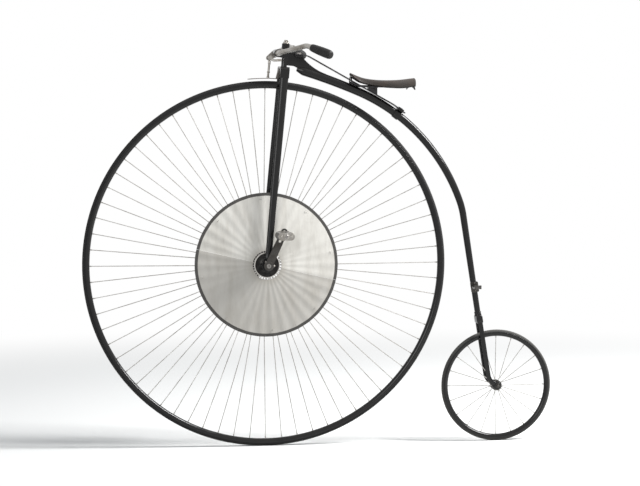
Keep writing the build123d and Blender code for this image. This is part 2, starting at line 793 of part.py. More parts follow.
neck_arc_start = bow_top_angle + neck_turn - degrees(nose_length / neck_arc_radius)
with BuildPart() as backbone:
    with BuildLine(side):
        CenterArc(tuple(neck_centre), neck_arc_radius, neck_arc_start, bow_top_angle - neck_arc_start)
        CenterArc(bow_centre, bow_radius, bow_top_angle, bow_low_angle - bow_top_angle)
        CenterArc(tuple(knee_centre), knee_radius, bow_low_angle, -knee_turn)
        Line(tuple(knee_low), tuple(leg_end))
    for distance in (nose_length, spine_length):
        with BuildSketch(spine_at(distance)):
            Circle(backbone_radius(distance))
    sweep(multisection=True)
    with BuildSketch(spine_at(0)):
        Circle(nose_radius)
    with BuildSketch(spine_at(nose_length)):
        Circle(backbone_radius(nose_length))
    loft()
    root_plane = spine_at(neck_root)
    root_edge = root_plane.origin + root_plane.x_dir * backbone_radius(neck_root)
    root_above = fork_side.to_local_coords(root_edge)
    root_inside = fork_side.to_local_coords(root_plane.origin)
    root_along = fork_side.to_local_coords(root_plane.origin - root_plane.z_dir) - root_inside
    nose_inside = fork_side.to_local_coords(spine_at(nose_length).origin)
    pad_back = spring_pad_start + spring_pad_length
    with BuildSketch(fork_side.offset(-neck_thickness / 2)):
        with BuildLine():
            above = TangentArc(
                (root_above.X, root_above.Y),
                (pad_back, spring_pad_height - spring_pad_thickness),
                tangent=(root_along.X, root_along.Y),
            )
            Polyline(
                above @ 1,
                (pad_back, spring_pad_height),
                (spring_pad_start, spring_pad_height),
                (spring_pad_start, neck_high),
                (0, neck_high),
                (0, neck_low),
                (spring_pad_start, neck_low),
                (nose_inside.X, nose_inside.Y),
                (root_inside.X, root_inside.Y),
                (root_above.X, root_above.Y),
            )
        make_face()
    extrude(amount=neck_thickness)
    with BuildSketch(fork_level(spring_pad_height, back=spring_pad_start + spring_pad_length / 2)):
        RectangleRounded(spring_pad_length, spring_pad_width, 4)
    extrude(amount=-spring_pad_thickness)
    with BuildSketch(fork_level(spindle_low)):
        Circle(spindle_radius)
    extrude(amount=spindle_high - spindle_low)
    with BuildSketch(fork_level(spindle_low)):
        Circle(pivot_radius)
    extrude(amount=-(spindle_low - crown_top) - pivot_depth)
    with BuildSketch(fork_level(spindle_high)):
        Circle(head_bolt_tip_radius + running_fit)
    extrude(amount=-head_bolt_tip_length, mode=Mode.SUBTRACT)
save(backbone, "backbone")

# Rear fork: a crown on the end of the backbone and a hooked blade each side of the small wheel
with BuildPart() as rear_fork:
    for hand in (-1, 1):
        across = hand * (rear_blade_gap + rear_eye_thickness) / 2
        blade_route = [
            side.from_local_coords(leg_end) + Vector(0, across, 0),
            rear_hub + Vector(rear_blade_corner[0], across, rear_blade_corner[1]),
            rear_hub + Vector(0, across, 0),
        ]
        with BuildLine():
            FilletPolyline(*blade_route, radius=rear_blade_corner_radius)
        blade_down = blade_route[1] - blade_route[0]
        with BuildSketch(Plane(origin=blade_route[0], x_dir=(0, 1, 0), z_dir=blade_down)):
            Ellipse(rear_blade_thickness / 2, rear_blade_width / 2)
        sweep()
        with BuildSketch(across_plane(rear_hub, hand * rear_blade_gap / 2)):
            Circle(rear_eye_radius)
        extrude(amount=hand * rear_eye_thickness)
    with BuildSketch(across_plane(rear_hub, -rear_blade_gap)):
        Circle(rear_axle_radius + running_fit)
    extrude(amount=2 * rear_blade_gap, mode=Mode.SUBTRACT)
    with BuildSketch(spine_at(spine_length)):
        RectangleRounded(rear_crown_depth, rear_blade_gap + 2 * rear_eye_thickness, 6)
    extrude(amount=rear_crown_length)
    with BuildSketch(spine_at(spine_length)):
        Circle(backbone_tail_radius + rear_collar_wall)
    extrude(amount=-rear_collar_length)
    with BuildSketch(spine_at(spine_length)):
        Circle(backbone_radius(spine_length - rear_collar_length) + running_fit)
    extrude(amount=-rear_collar_length, mode=Mode.SUBTRACT)
save(rear_fork, "rear_fork")

# Mounting step: a plate on the left of the backbone's leg with a flat tread
step_distance = spine_length - step_above_fork / cos(radians(leg_lean))
step_origin = spine_at(step_distance).origin
step_tube_radius = backbone_radius(step_distance)
with BuildPart() as step:
    step_face = Plane(
        origin=step_origin + to_left * (step_tube_radius + seat_gap),
        x_dir=spine_at(step_distance).x_dir,
        z_dir=to_left,
    )
    with BuildSketch(step_face):
        RectangleRounded(*step_plate_size, 5)
    extrude(amount=step_plate_thickness)
    with BuildSketch(Plane(origin=step_face.origin, x_dir=(1, 0, 0), z_dir=to_left)):
        Rectangle(step_tread_width, step_tread_thickness)
    extrude(amount=step_reach)
    with BuildSketch(Plane(
        origin=step_face.origin + to_left * step_reach, x_dir=(1, 0, 0), z_dir=to_left
    )):
        with Locations((0, step_lip_height / 2)):
            Rectangle(step_tread_width, step_tread_thickness + step_lip_height)
    extrude(amount=3)
save(step, "mounting_step")

# Saddle spring: a leaf from the neck's pad to the sliding clip on the bow
clip_distance = neck_run + bow_radius * radians(bow_top_angle - clip_angle)
clip_plane = spine_at(clip_distance)
clip_tube_radius = backbone_radius(clip_distance - clip_length / 2)
spring_lift = clip_tube_radius + seat_gap + clip_wall + 1 + spring_thickness / 2
tail_middle = side.to_local_coords(clip_plane.origin + clip_plane.x_dir * spring_lift)
tail_onward = Vector(sin(radians(clip_angle)), -cos(radians(clip_angle)))
tail_end = tail_middle + tail_onward * (clip_length / 2 + 10)
tail_start = tail_middle - tail_onward * (clip_length / 2 + 20)
front_height = spring_pad_height + spring_thickness / 2
spring_front = side.to_local_coords(at_fork(spring_pad_start + seat_gap, 0, front_height))
spring_bend_back = spring_pad_start + spring_pad_length + spring_pad_run
spring_pad_back = side.to_local_coords(at_fork(spring_bend_back, 0, front_height))
with BuildPart() as spring:
    spring_route = [side.from_local_coords(Vector(p)) for p in (
        (spring_front.X, spring_front.Y),
        (spring_pad_back.X, spring_pad_back.Y),
        (tail_start.X, tail_start.Y),
        (tail_end.X, tail_end.Y),
    )]
    with BuildLine():
        FilletPolyline(*spring_route, radius=spring_bend_radii)
    with BuildSketch(Plane(
        origin=spring_route[0], x_dir=(0, 1, 0), z_dir=spring_route[1] - spring_route[0]
    )):
        Rectangle(spring_width, spring_thickness)
    sweep()
save(spring, "saddle_spring")

with BuildPart() as clip:
    clip_start = spine_at(clip_distance).offset(-clip_length / 2)
    with BuildSketch(clip_start):
        Circle(clip_tube_radius + seat_gap + clip_wall)
        with Locations((spring_lift, 0)):
            Rectangle(spring_thickness + 2 * clip_wall + 1.2, spring_width + 2 * clip_wall + 2)
        Circle(clip_tube_radius + seat_gap, mode=Mode.SUBTRACT)
        with Locations((spring_lift, 0)):
            Rectangle(spring_thickness + 2 * seat_gap, spring_width + 2 * seat_gap, mode=Mode.SUBTRACT)
    extrude(amount=clip_length)
save(clip, "spring_clip")

with BuildPart() as spring_bolt:
    with BuildSketch(
        fork_level(spring_pad_height + spring_thickness, back=spring_pad_start + spring_pad_length / 2)
    ):
        RegularPolygon(spring_bolt_flats / 2, 6, major_radius=False)
    extrude(amount=spring_bolt_height)
save(spring_bolt, "spring_bolt")

# Saddle: hammock leather between a nose plate and a cantle plate, on two wires clamped to the spring
# columns: behind the seat, half width, above the seat, drop to the edge
saddle_sections = (
    (-150.0, 27.0, 27.0, 15.0),
    (-100.0, 29.0, 8.0, 16.0),
    (-40.0, 42.0, 0.0, 20.0),
    (30.0, 76.0, 0.0, 26.0),
    (96.0, 88.0, 7.0, 26.0),
)
# columns: behind the seat, share of half the wires' spacing, above the seat
wire_route = (
    (-145.5, 0.88, -4.0),
    (-112.0, 0.98, -18.0),
    (30.0, 1.0, -20.0),
    (80.9, 1.4, -17.0),
)


def saddle_plane(behind):
    """A plane across the saddle, x to the right and y up from the seat, facing rearward."""
    return Plane(origin=(behind, 0, 0), x_dir=(0, 1, 0), z_dir=(1, 0, 0))


def saddle_arch(half_width, crown, drop, depth, end_depth):
    """The outline of a band that arches across the saddle, that deep in the middle and at its ends."""
    edge = crown - drop
    low_edge = edge - end_depth
    with BuildLine() as band:
        above = ThreePointArc((-half_width, edge), (0, crown), (half_width, edge))
        below = ThreePointArc((-half_width, low_edge), (0, crown - depth), (half_width, low_edge))
        Line(above @ 0, below @ 0)
        Line(above @ 1, below @ 1)
    return band.line


with BuildPart() as leather:
    for behind, half_width, rise, drop in saddle_sections:
        with BuildSketch(saddle_plane(behind)):
            make_face(saddle_arch(half_width, rise, drop, saddle_skin, saddle_skin))
    loft()
save(leather, "saddle_leather")

nose_x, nose_half_width, nose_rise = saddle_sections[0][:3]
waist_x, waist_half_width, waist_rise = saddle_sections[1][:3]
rear_x, rear_half_width, rear_rise, rear_drop = saddle_sections[-1]
nose_slope = (nose_rise - waist_rise) / (waist_x - nose_x)
cantle_back = rear_x - cantle_setback
with BuildPart() as cantle:
    with BuildSketch(saddle_plane(cantle_back)):
        crown = rear_rise - saddle_skin - cantle_clearance
        make_face(
            saddle_arch(rear_half_width - cantle_inset, crown, rear_drop, cantle_depth, cantle_end_depth)
        )
    extrude(amount=-cantle_thickness)
save(cantle, "saddle_cantle")

spring_slope = (spring_pad_back.Y - tail_start.Y) / (spring_pad_back.X - tail_start.X)


def spring_top(behind):
    """The height of the leaf's upper face over the seat's level, between its two bends."""
    run = behind + saddle_behind_hub - tail_start.X
    rise = tail_start.Y + spring_slope * run + spring_thickness / 2 * sqrt(1 + spring_slope**2)
    return rise + hub.Z


with BuildPart() as saddle_frame:
    for hand in (-1, 1):
        half_spacing = hand * saddle_wire_spacing / 2
        wire_points = [Vector(behind, half_spacing * share, rise) for behind, share, rise in wire_route]
        with BuildLine():
            FilletPolyline(*wire_points, radius=saddle_wire_bend)
        with BuildSketch(Plane(origin=wire_points[0], z_dir=wire_points[1] - wire_points[0])):
            Circle(saddle_wire_radius)
        sweep()
    with BuildSketch(saddle_plane(nose_x + nose_plate_setback)):
        plate_fall = nose_slope * (nose_plate_setback + nose_plate_thickness)
        crown = nose_rise - plate_fall - saddle_skin - nose_plate_clearance
        half_width = nose_half_width - nose_plate_inset
        make_face(saddle_arch(half_width, crown, nose_plate_drop, nose_plate_depth, nose_plate_depth))
        with Locations((0, spring_top(nose_x) + nose_notch_clearance)):
            Rectangle(
                spring_width + 2 * nose_notch_clearance, nose_plate_depth * 2,
                align=(Align.CENTER, Align.MAX), mode=Mode.SUBTRACT,
            )
    extrude(amount=nose_plate_thickness)
    clamp_end = saddle_clamp_start + saddle_clamp_length
    plate_top = wire_route[1][2] - 1
    with BuildSketch(Plane.XZ):
        with BuildLine():
            Polyline(
                (saddle_clamp_start, plate_top),
                (clamp_end, plate_top),
                (clamp_end, spring_top(clamp_end)),
                (saddle_clamp_start, spring_top(saddle_clamp_start)),
                close=True,
            )
        make_face()
    extrude(amount=spring_width / 2 - 2, both=True)
    with BuildSketch(Plane.XY.offset(plate_top)):
        with Locations(((saddle_clamp_start + clamp_end) / 2, 0)):
            RectangleRounded(saddle_clamp_length, saddle_wire_spacing + 2 * saddle_wire_radius + 4, 4)
    extrude(amount=-saddle_clamp_plate)
save(saddle_frame, "saddle_frame")
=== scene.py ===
from math import acos, atan2, cos, pi, radians, sin, sqrt, tan

import bmesh
import bpy
from mathutils import Matrix, Vector


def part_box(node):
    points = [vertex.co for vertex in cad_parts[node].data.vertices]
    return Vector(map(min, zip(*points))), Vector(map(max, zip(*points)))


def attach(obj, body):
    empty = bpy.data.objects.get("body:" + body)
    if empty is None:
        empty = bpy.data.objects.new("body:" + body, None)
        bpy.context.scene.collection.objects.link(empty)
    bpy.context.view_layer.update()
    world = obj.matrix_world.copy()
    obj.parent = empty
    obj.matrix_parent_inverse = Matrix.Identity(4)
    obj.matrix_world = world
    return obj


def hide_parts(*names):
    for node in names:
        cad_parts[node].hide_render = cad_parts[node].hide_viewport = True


# High-wheel bicycle with a two-piece sign. Metres; the rider faces -X, left is -Y, up is +Z.
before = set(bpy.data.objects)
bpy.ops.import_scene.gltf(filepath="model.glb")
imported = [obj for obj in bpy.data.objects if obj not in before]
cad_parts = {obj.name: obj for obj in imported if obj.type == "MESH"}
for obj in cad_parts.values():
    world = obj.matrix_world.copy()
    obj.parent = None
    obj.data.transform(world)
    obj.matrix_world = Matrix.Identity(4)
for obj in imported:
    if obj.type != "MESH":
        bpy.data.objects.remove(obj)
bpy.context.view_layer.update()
print("frame loaded")


def boxOf(node):
    low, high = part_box(node)
    return Vector(low), Vector(high)


def middleOf(node):
    low, high = boxOf(node)
    return (low + high) / 2


def halfOf(node):
    low, high = boxOf(node)
    return (high - low) / 2


# Places and sizes that many pieces share
steerLean = radians(5.5)
frontCentre = middleOf("front_tyre")
rearCentre = middleOf("rear_tyre")
steerUp = Vector((sin(steerLean), 0, cos(steerLean)))
steerBack = Vector((cos(steerLean), 0, -sin(steerLean)))
toLeft = Vector((0, -1, 0))
groundHeight = boxOf("front_tyre")[0].z
hands = (("Left", -1), ("Right", 1))
seatGap = 0.0003
sign = {
    "hole": 0.054, "outer": 0.270, "lean": radians(13), "gap": 0.0008, "sheet": 0.0014, "lift": 0.0018,
    "rings": 14, "stepsPerSpoke": 6, "sag": 0.0016,
}


def atFork(back, across, height):
    return frontCentre + steerBack * back + Vector((0, across, 0)) + steerUp * height


# Materials
shading = {"tree": None}  # new nodes go to this tree


def fill(node, inputs):
    for name, value in inputs.items():
        if isinstance(value, bpy.types.NodeSocket):
            node.id_data.links.new(value, node.inputs[name])
        else:
            node.inputs[name].default_value = value


def put(kind, inputs=None, **settings):
    node = shading["tree"].nodes.new(kind)
    for name, value in settings.items():
        setattr(node, name, value)
    fill(node, inputs or {})
    return node.outputs


def mapped(coords, name, value):
    return put("ShaderNodeMapping", {"Vector": coords, name: value})["Vector"]


def newMaterial(name, centre=None):
    material = bpy.data.materials.new(name)
    material.use_nodes = True
    shading["tree"] = material.node_tree
    coords = put("ShaderNodeTexCoord")["Object"]
    return material, coords if centre is None else mapped(coords, "Location", tuple(-centre))


def coated(material, inputs, *bumps):
    shader = material.node_tree.nodes["Principled BSDF"]
    fill(shader, inputs)
    below = {}
    for height, distance in bumps:
        inputs = {"Height": height, "Distance": distance, "Strength": 1.0, **below}
        below = {"Normal": put("ShaderNodeBump", inputs)["Normal"]}
    fill(shader, below)
    return material


def fromAxle(local):
    parts = put("ShaderNodeSeparateXYZ", {"Vector": local})
    flat = put("ShaderNodeCombineXYZ", {"X": parts["X"], "Z": parts["Z"]})["Vector"]
    return put("ShaderNodeVectorMath", {"Vector": flat}, operation="LENGTH")["Value"]


def noise(coords, scale, detail, roughness=0.55):
    inputs = {"Vector": coords, "Scale": scale, "Detail": detail, "Roughness": roughness}
    return put("ShaderNodeTexNoise", inputs)[0]


def ramp(value, *stops):
    outputs = put("ShaderNodeValToRGB", {"Fac": value})
    for element, (place, level) in zip(outputs["Color"].node.color_ramp.elements, stops):
        element.position = place
        element.color = (level, level, level, 1)
    return outputs["Color"]


def between(value, start, end, **settings):
    return put("ShaderNodeMapRange", {"Value": value, "From Min": start, "From Max": end}, **settings)["Result"]


def mixColour(share, under, over):
    inputs = {"Factor": share, 6: under, 7: over}  # the mix node's colours go in at 6 and 7 and out at 2
    for index, value in inputs.items():
        if isinstance(value, tuple):
            inputs[index] = (*value, 1)
    return put("ShaderNodeMix", inputs, data_type="RGBA")[2]


def calc(operation, *values):
    return put("ShaderNodeMath", dict(enumerate(values)), operation=operation)[0]


def facingUp():
    normal = put("ShaderNodeTexCoord")["Normal"]
    return put("ShaderNodeSeparateXYZ", {"Vector": normal})["Z"]


def blackEnamel():
    look = {
        "deep": (0.004, 0.004, 0.0045), "faded": (0.011, 0.0105, 0.01), "dust": (0.09, 0.085, 0.078),
        "rust": (0.07, 0.045, 0.03),
    }
    material, coords = newMaterial("blackEnamel")
    chips = ramp(noise(coords, 120, 7, 0.7), (0.7, 0.0), (0.715, 1.0))
    upward = ramp(facingUp(), (0.6, 0.0), (1.0, 0.25))
    dust = calc("MULTIPLY", upward, noise(coords, 34, 5))
    paint = mixColour(noise(coords, 9, 3), look["deep"], look["faded"])
    dusty = mixColour(dust, paint, look["dust"])
    gloss = ramp(noise(coords, 26, 5), (0.3, 0.1), (0.75, 0.24))
    return coated(material, {
        "Base Color": mixColour(chips, dusty, look["rust"]),
        "Roughness": calc("MAXIMUM", gloss, calc("MULTIPLY", chips, 0.6)),
        "Specular IOR Level": 0.3,
    }, (noise(coords, 160, 2), 0.00001), (calc("SUBTRACT", 1.0, chips), 0.00005))


def platedMetal(name, bright, dull, roughness, fleck):
    material, coords = newMaterial(name)
    tarnish = ramp(noise(coords, 22, 6, 0.65), (0.38, 0.0), (0.72, 1.0))
    spots = ramp(noise(coords, 210, 6, 0.7), (0.6, 0.0), (0.68, 1.0))
    plate = mixColour(tarnish, bright, dull)
    wear = calc("MULTIPLY_ADD", tarnish, 0.22, roughness)
    return coated(material, {
        "Base Color": mixColour(calc("MULTIPLY", spots, 0.6), plate, fleck),
        "Metallic": 0.92,
        "Roughness": calc("MULTIPLY_ADD", spots, 0.12, wear),
    }, (noise(coords, 900, 3), 0.00001), (spots, -0.00002))


def hubSteel():
    # bright is the colour of a painted highlight on the flange rim
    look = {
        "dark": (0.028, 0.027, 0.026), "oil": (0.01, 0.0095, 0.009), "bright": (0.5, 0.48, 0.45),
        "flangeHighlight": (0.0452, 0.0462), "rings": 420,
    }
    material, local = newMaterial("hubSteel", frontCentre)
    away = fromAxle(local)
    wander = calc("MULTIPLY_ADD", noise(local, 160, 5), 0.0012, away)
    oiled = ramp(noise(local, 60, 5, 0.6), (0.35, 0.0), (0.65, 1.0))
    body = mixColour(oiled, look["dark"], look["oil"])
    line = put("ShaderNodeCombineXYZ", {"X": away})["Vector"]
    rings = put("ShaderNodeTexWave", {"Vector": line, "Scale": look["rings"]})["Fac"]
    return coated(material, {
        # The ring of bright colour at the flange rim is a painted highlight
        "Base Color": mixColour(between(wander, *look["flangeHighlight"]), body, look["bright"]),
        "Metallic": 0.9,
        "Roughness": calc("MULTIPLY_ADD", oiled, 0.16, 0.24),
    }, (rings, 0.00001), (noise(local, 700, 3), 0.00001))


def tyreRubber(end, centre, face, tread):
    look = {"edge": (0.007, 0.001), "mottle": 1.7}
    material, local = newMaterial(end + "TyreRubber", centre)
    radius = halfOf(end + "_tyre").z
    edge = between(fromAxle(local), *(radius - inward for inward in look["edge"]))
    scuff = noise(local, 130, 6, 0.7)
    dusty = calc("MULTIPLY", edge, ramp(scuff, (0.25, 0.35), (0.7, 1.0)))
    pale = tuple(level * look["mottle"] for level in face)
    mottled = mixColour(noise(local, 14, 4), face, pale)
    return coated(material, {
        "Base Color": mixColour(dusty, mottled, tread),
        "Roughness": ramp(scuff, (0.3, 0.62), (0.7, 0.9)),
        "Specular IOR Level": 0.22,
    }, (noise(local, 700, 5, 0.7), 0.00012), (scuff, 0.0002))


def softRubber(name, dark, worn, grain):
    material, coords = newMaterial(name)
    rubbed = ramp(noise(coords, 38, 6, 0.65), (0.35, 0.0), (0.7, 1.0))
    return coated(material, {
        "Base Color": mixColour(rubbed, dark, worn),
        "Roughness": ramp(rubbed, (0.0, 0.42), (1.0, 0.72)),
        "Specular IOR Level": 0.28,
    }, (noise(coords, grain, 4, 0.7), 0.00008))


def harnessLeather():
    look = {"dark": (0.011, 0.008, 0.006), "worn": (0.034, 0.021, 0.014), "grain": 620}
    material, coords = newMaterial("harnessLeather")
    rubbed = ramp(noise(coords, 17, 5, 0.6), (0.38, 0.0), (0.72, 1.0))
    top = ramp(facingUp(), (0.4, 0.2), (0.98, 1.0))
    grain = {"Vector": coords, "Scale": look["grain"]}
    cells = put("ShaderNodeTexVoronoi", grain, feature="DISTANCE_TO_EDGE")["Distance"]
    pores = ramp(cells, (0.0, 0.0), (0.12, 1.0))
    creases = ramp(noise(coords, 38, 4, 0.6), (0.44, 0.0), (0.5, 1.0))
    return coated(material, {
        "Base Color": mixColour(calc("MULTIPLY", rubbed, top), look["dark"], look["worn"]),
        "Roughness": ramp(rubbed, (0.0, 0.4), (1.0, 0.56)),
        "Specular IOR Level": 0.3,
    }, (pores, 0.00006), (creases, 0.00008))


def signPaint(name, paint, outer):
    look = {
        "band": (0.05, 0.047, 0.043), "bandWidth": 0.011, "bandEdge": 0.0012, "rust": (0.16, 0.09, 0.05),
        "grime": (0.34, 0.31, 0.26), "ringWidth": 0.03, "brushed": 0.95,
    }
    material, local = newMaterial(name, frontCentre)
    away = fromAxle(local)
    wander = calc("MULTIPLY_ADD", noise(local, 45, 4), 0.0024, away)
    bandFrom = outer - look["bandWidth"]
    band = between(wander, bandFrom, bandFrom + look["bandEdge"])
    ring = between(away, sign["hole"] + look["ringWidth"], sign["hole"])
    streak = mapped(local, "Scale", (1.0, 1.0, 0.25))
    stain = ramp(noise(streak, 26, 7, 0.62), (0.42, 0.0), (0.78, 0.55))
    grime = calc("MAXIMUM", stain, calc("MULTIPLY", ring, 0.5))
    brush = noise(mapped(local, "Scale", (0.15, 1.0, 1.0)), 420, 3)
    painted = mixColour(brush, tuple(level * look["brushed"] for level in paint), paint)
    dirty = mixColour(grime, painted, look["grime"])
    chips = ramp(noise(local, 120, 8, 0.75), (0.7, 0.0), (0.71, 1.0))
    banded = mixColour(band, dirty, look["band"])
    return coated(material, {
        "Base Color": mixColour(chips, banded, look["rust"]),
        "Roughness": ramp(brush, (0.2, 0.42), (0.8, 0.6)),
    }, (brush, 0.00006), (calc("SUBTRACT", 1.0, chips), 0.0001))


signRadius = halfOf("sign_upper").x + 0.0036  # the slanting split makes a half's box a little narrower
materials = {
    "enamel": blackEnamel(),
    "nickel": platedMetal("nickelPlate", (0.4, 0.385, 0.36), (0.17, 0.15, 0.125), 0.22, (0.05, 0.035, 0.025)),
    "steel": platedMetal("bareSteel", (0.26, 0.25, 0.24), (0.11, 0.095, 0.08), 0.34, (0.06, 0.035, 0.02)),
    "darkSteel": platedMetal(
        "oiledSteel", (0.075, 0.072, 0.068), (0.035, 0.031, 0.027), 0.26, (0.06, 0.035, 0.02),
    ),
    "hub": hubSteel(),
    "spring": platedMetal("blackSteel", (0.045, 0.045, 0.048), (0.022, 0.02, 0.018), 0.32, (0.05, 0.03, 0.02)),
    "wire": platedMetal("spokeWire", (0.41, 0.4, 0.385), (0.23, 0.215, 0.195), 0.42, (0.1, 0.07, 0.05)),
    "frontTyre": tyreRubber("front", frontCentre, (0.012, 0.012, 0.0125), (0.036, 0.034, 0.031)),
    "rearTyre": tyreRubber("rear", rearCentre, (0.032, 0.032, 0.031), (0.1, 0.095, 0.087)),
    "grip": softRubber("gripRubber", (0.006, 0.006, 0.006), (0.018, 0.017, 0.016), 600),
    "pedal": softRubber("pedalRubber", (0.14, 0.135, 0.13), (0.3, 0.285, 0.265), 420),
    "leather": harnessLeather(),
    # The lower half gets the same paint made darker: painted shade on the lower sheet
    "signUpper": signPaint("signPaintUpper", (0.76, 0.74, 0.69), signRadius),
    "signLower": signPaint("signPaintLower", (0.56, 0.54, 0.5), signRadius),
}
print("materials made")


# Floor, light and camera
def seenByEye():
    path = put("ShaderNodeLightPath")
    mirrored = calc("MAXIMUM", path["Is Glossy Ray"], path["Is Transmission Ray"])
    return calc("MAXIMUM", path["Is Camera Ray"], mirrored)


def mixInto(output, share, under, over):
    both = put("ShaderNodeMixShader", {0: share, 1: under, 2: over})["Shader"]
    fill(shading["tree"].nodes[output], {"Surface": both})


def makeFloor():
    look = {
        "radius": 40.0, "segments": 96, "fade": (1.1, 3.2), "floor": (0.86, 0.86, 0.85),
        "bounce": (0.42, 0.42, 0.415),
    }
    bm = bmesh.new()
    ground = Matrix.Translation((0, 0, groundHeight))
    bmesh.ops.create_circle(bm, cap_ends=True, segments=look["segments"], radius=look["radius"], matrix=ground)
    mesh = bpy.data.meshes.new("floor")
    bm.to_mesh(mesh)
    bm.free()
    floor = bpy.data.objects.new("floor", mesh)
    bpy.context.scene.collection.objects.link(floor)
    material, coords = newMaterial("floorPaper")
    away = put("ShaderNodeVectorMath", {"Vector": coords}, operation="LENGTH")["Value"]
    fadeStart, fadeEnd = (place - groundHeight for place in look["fade"])
    fade = between(away, fadeStart, fadeEnd, interpolation_type="SMOOTHSTEP")
    seen = seenByEye()
    coated(material, {
        "Base Color": mixColour(seen, look["bounce"], look["floor"]),
        "Roughness": 0.9,
        "Specular IOR Level": 0.1,
    })
    matt = material.node_tree.nodes["Principled BSDF"].outputs["BSDF"]
    white = put("ShaderNodeEmission", {"Color": (1, 1, 1, 1), "Strength": 1.0})["Emission"]
    mixInto("Material Output", calc("MULTIPLY", fade, seen), matt, white)
    mesh.materials.append(material)


def makeWorld():
    look = {"ambient": ((0.92, 0.96, 1.0, 1), 0.38), "backdrop": ((1, 1, 1, 1), 1.0)}
    world = bpy.data.worlds.new("studio")
    world.use_nodes = True
    bpy.context.scene.world = world
    shading["tree"] = world.node_tree
    ambient, backdrop = (
        put("ShaderNodeBackground", {"Color": colour, "Strength": strength})["Background"]
        for colour, strength in (look["ambient"], look["backdrop"])
    )
    mixInto("World Output", seenByEye(), ambient, backdrop)


def addObject(name, data, place, facing):
    item = bpy.data.objects.new(name, data)
    item.location = place
    item.rotation_mode = "QUATERNION"
    item.rotation_quaternion = facing.to_track_quat("-Z", "Y")
    bpy.context.scene.collection.objects.link(item)
    return item


def addLamp(name, place, aim, size, power, tall=None):
    light = bpy.data.lights.new(name, "AREA")
    light.shape = "RECTANGLE" if tall else "DISK"
    light.size = size
    light.size_y = tall or size
    light.energy = power
    addObject(name, light, place, Vector(aim) - Vector(place))


def makeCamera():
    view = {
        "azimuth": radians(-9), "elevation": radians(4), "distance": 9.5, "lens": 142.0, "sensor": 36.0,
        "clipEnd": 200.0, "aim": Vector((-0.262, 0, -0.607)),
    }
    data = bpy.data.cameras.new("camera")
    data.lens = view["lens"]
    data.sensor_width = view["sensor"]
    data.clip_end = view["clipEnd"]
    level = cos(view["elevation"])
    back = Vector((sin(view["azimuth"]) * level, -cos(view["azimuth"]) * level, sin(view["elevation"])))
    bpy.context.scene.camera = addObject("camera", data, view["aim"] + back * view["distance"], -back)


makeFloor()
makeWorld()
addLamp("sun strip", (3.2, -1.05, 2.5), (0.1, 0, -0.4), 1.0, 440, 2.6)
addLamp("front fill", (-4.0, -6.0, 1.6), (-0.2, 0, -0.6), 3.6, 110)
makeCamera()
bpy.context.scene.view_settings.view_transform = "Standard"
print("stage, lamps and camera placed")


# Mesh tools
def placed(point, along, across=None):
    z = Vector(along).normalized()
    x = Vector(across) if across is not None else z.orthogonal()
    x = (x - z * x.dot(z)).normalized()
    return Matrix.Translation(point) @ Matrix((x, z.cross(x), z)).transposed().to_4x4()


def onFork(back, across, height):
    return placed(atFork(back, across, height), steerUp, steerBack)


def ringAt(point, along, width, depth, across=None, square=False):
    shape = Matrix.Diagonal((width, depth, 1, 1))
    if square:
        shape = shape @ Matrix.Diagonal((sqrt(2), sqrt(2), 1, 1)) @ Matrix.Rotation(pi / 4, 4, "Z")
    return placed(point, along, across) @ shape


def freshVerts(bm, known):
    return [vert for vert in bm.verts if vert not in known]


def edgesOf(verts):
    return list({edge for vert in verts for edge in vert.link_edges})


def mirroredProfile(half):
    return [(-along, radius) for along, radius in reversed(half)] + list(half)


def turned(bm, profile, place, steps=32, closed=False):
    known = set(bm.verts)
    verts = [bm.verts.new((radius, 0, along)) for along, radius in profile]
    edges = [bm.edges.new(pair) for pair in zip(verts, verts[1:])]
    if closed:
        edges.append(bm.edges.new((verts[-1], verts[0])))
    bmesh.ops.spin(
        bm, geom=verts + edges, cent=(0, 0, 0), axis=(0, 0, 1), dvec=(0, 0, 0), angle=2 * pi, steps=steps,
        use_merge=True,
    )
    bmesh.ops.remove_doubles(bm, verts=freshVerts(bm, known), dist=1e-6)
    bmesh.ops.transform(bm, matrix=place, verts=freshVerts(bm, known))


def tube(bm, rings, segments=24, joined=False):
    known = set(bm.verts)
    ring = bmesh.ops.create_circle(bm, segments=segments, radius=1, matrix=rings[0])["verts"]
    firstEdges = edges = edgesOf(ring)
    for before, after in zip(rings, rings[1:]):
        grown = bmesh.ops.extrude_edge_only(bm, edges=edges)["geom"]
        verts = {item for item in grown if isinstance(item, bmesh.types.BMVert)}
        edges = [edge for edge in edgesOf(verts) if edge.verts[0] in verts and edge.verts[1] in verts]
        bmesh.ops.transform(bm, matrix=after @ before.inverted(), verts=list(verts))
    if joined:
        bmesh.ops.remove_doubles(bm, verts=freshVerts(bm, known), dist=1e-6)
    else:
        bmesh.ops.edgeloop_fill(bm, edges=firstEdges)
        bmesh.ops.edgeloop_fill(bm, edges=edges)


def block(bm, place, size, rounding, steps):
    known = set(bm.verts)
    bmesh.ops.create_cube(bm, size=1, matrix=place @ Matrix.Diagonal((*size, 1)))
    bmesh.ops.bevel(
        bm, geom=edgesOf(freshVerts(bm, known)), offset=rounding, segments=steps, profile=0.5, affect="EDGES",
        material=-1,
    )


def rod(bm, start, finish, radius, rounding):
    run = Vector(finish) - Vector(start)
    profile = [
        (0, 0), (0, radius - rounding), (rounding, radius), (run.length - rounding, radius),
        (run.length, radius - rounding), (run.length, 0),
    ]
    turned(bm, profile, placed(start, run), 16)


def hexNut(bm, place, flats, height, bolt=0.0):
    washer, raised = flats * 0.56, height * 0.14
    turned(bm, [(0, 0), (0, washer), (raised, washer), (raised, 0)], place, 20)
    bmesh.ops.create_cone(
        bm, cap_ends=True, segments=6, radius1=flats / sqrt(3), radius2=flats / sqrt(3), depth=height - raised,
        matrix=place @ Matrix.Translation((0, 0, (height + raised) / 2)),
    )
    if bolt:
        tip = height + bolt * 0.9
        turned(bm, [(0, 0), (0, bolt), (height + bolt * 0.6, bolt), (tip, bolt * 0.6), (tip, 0)], place, 14)


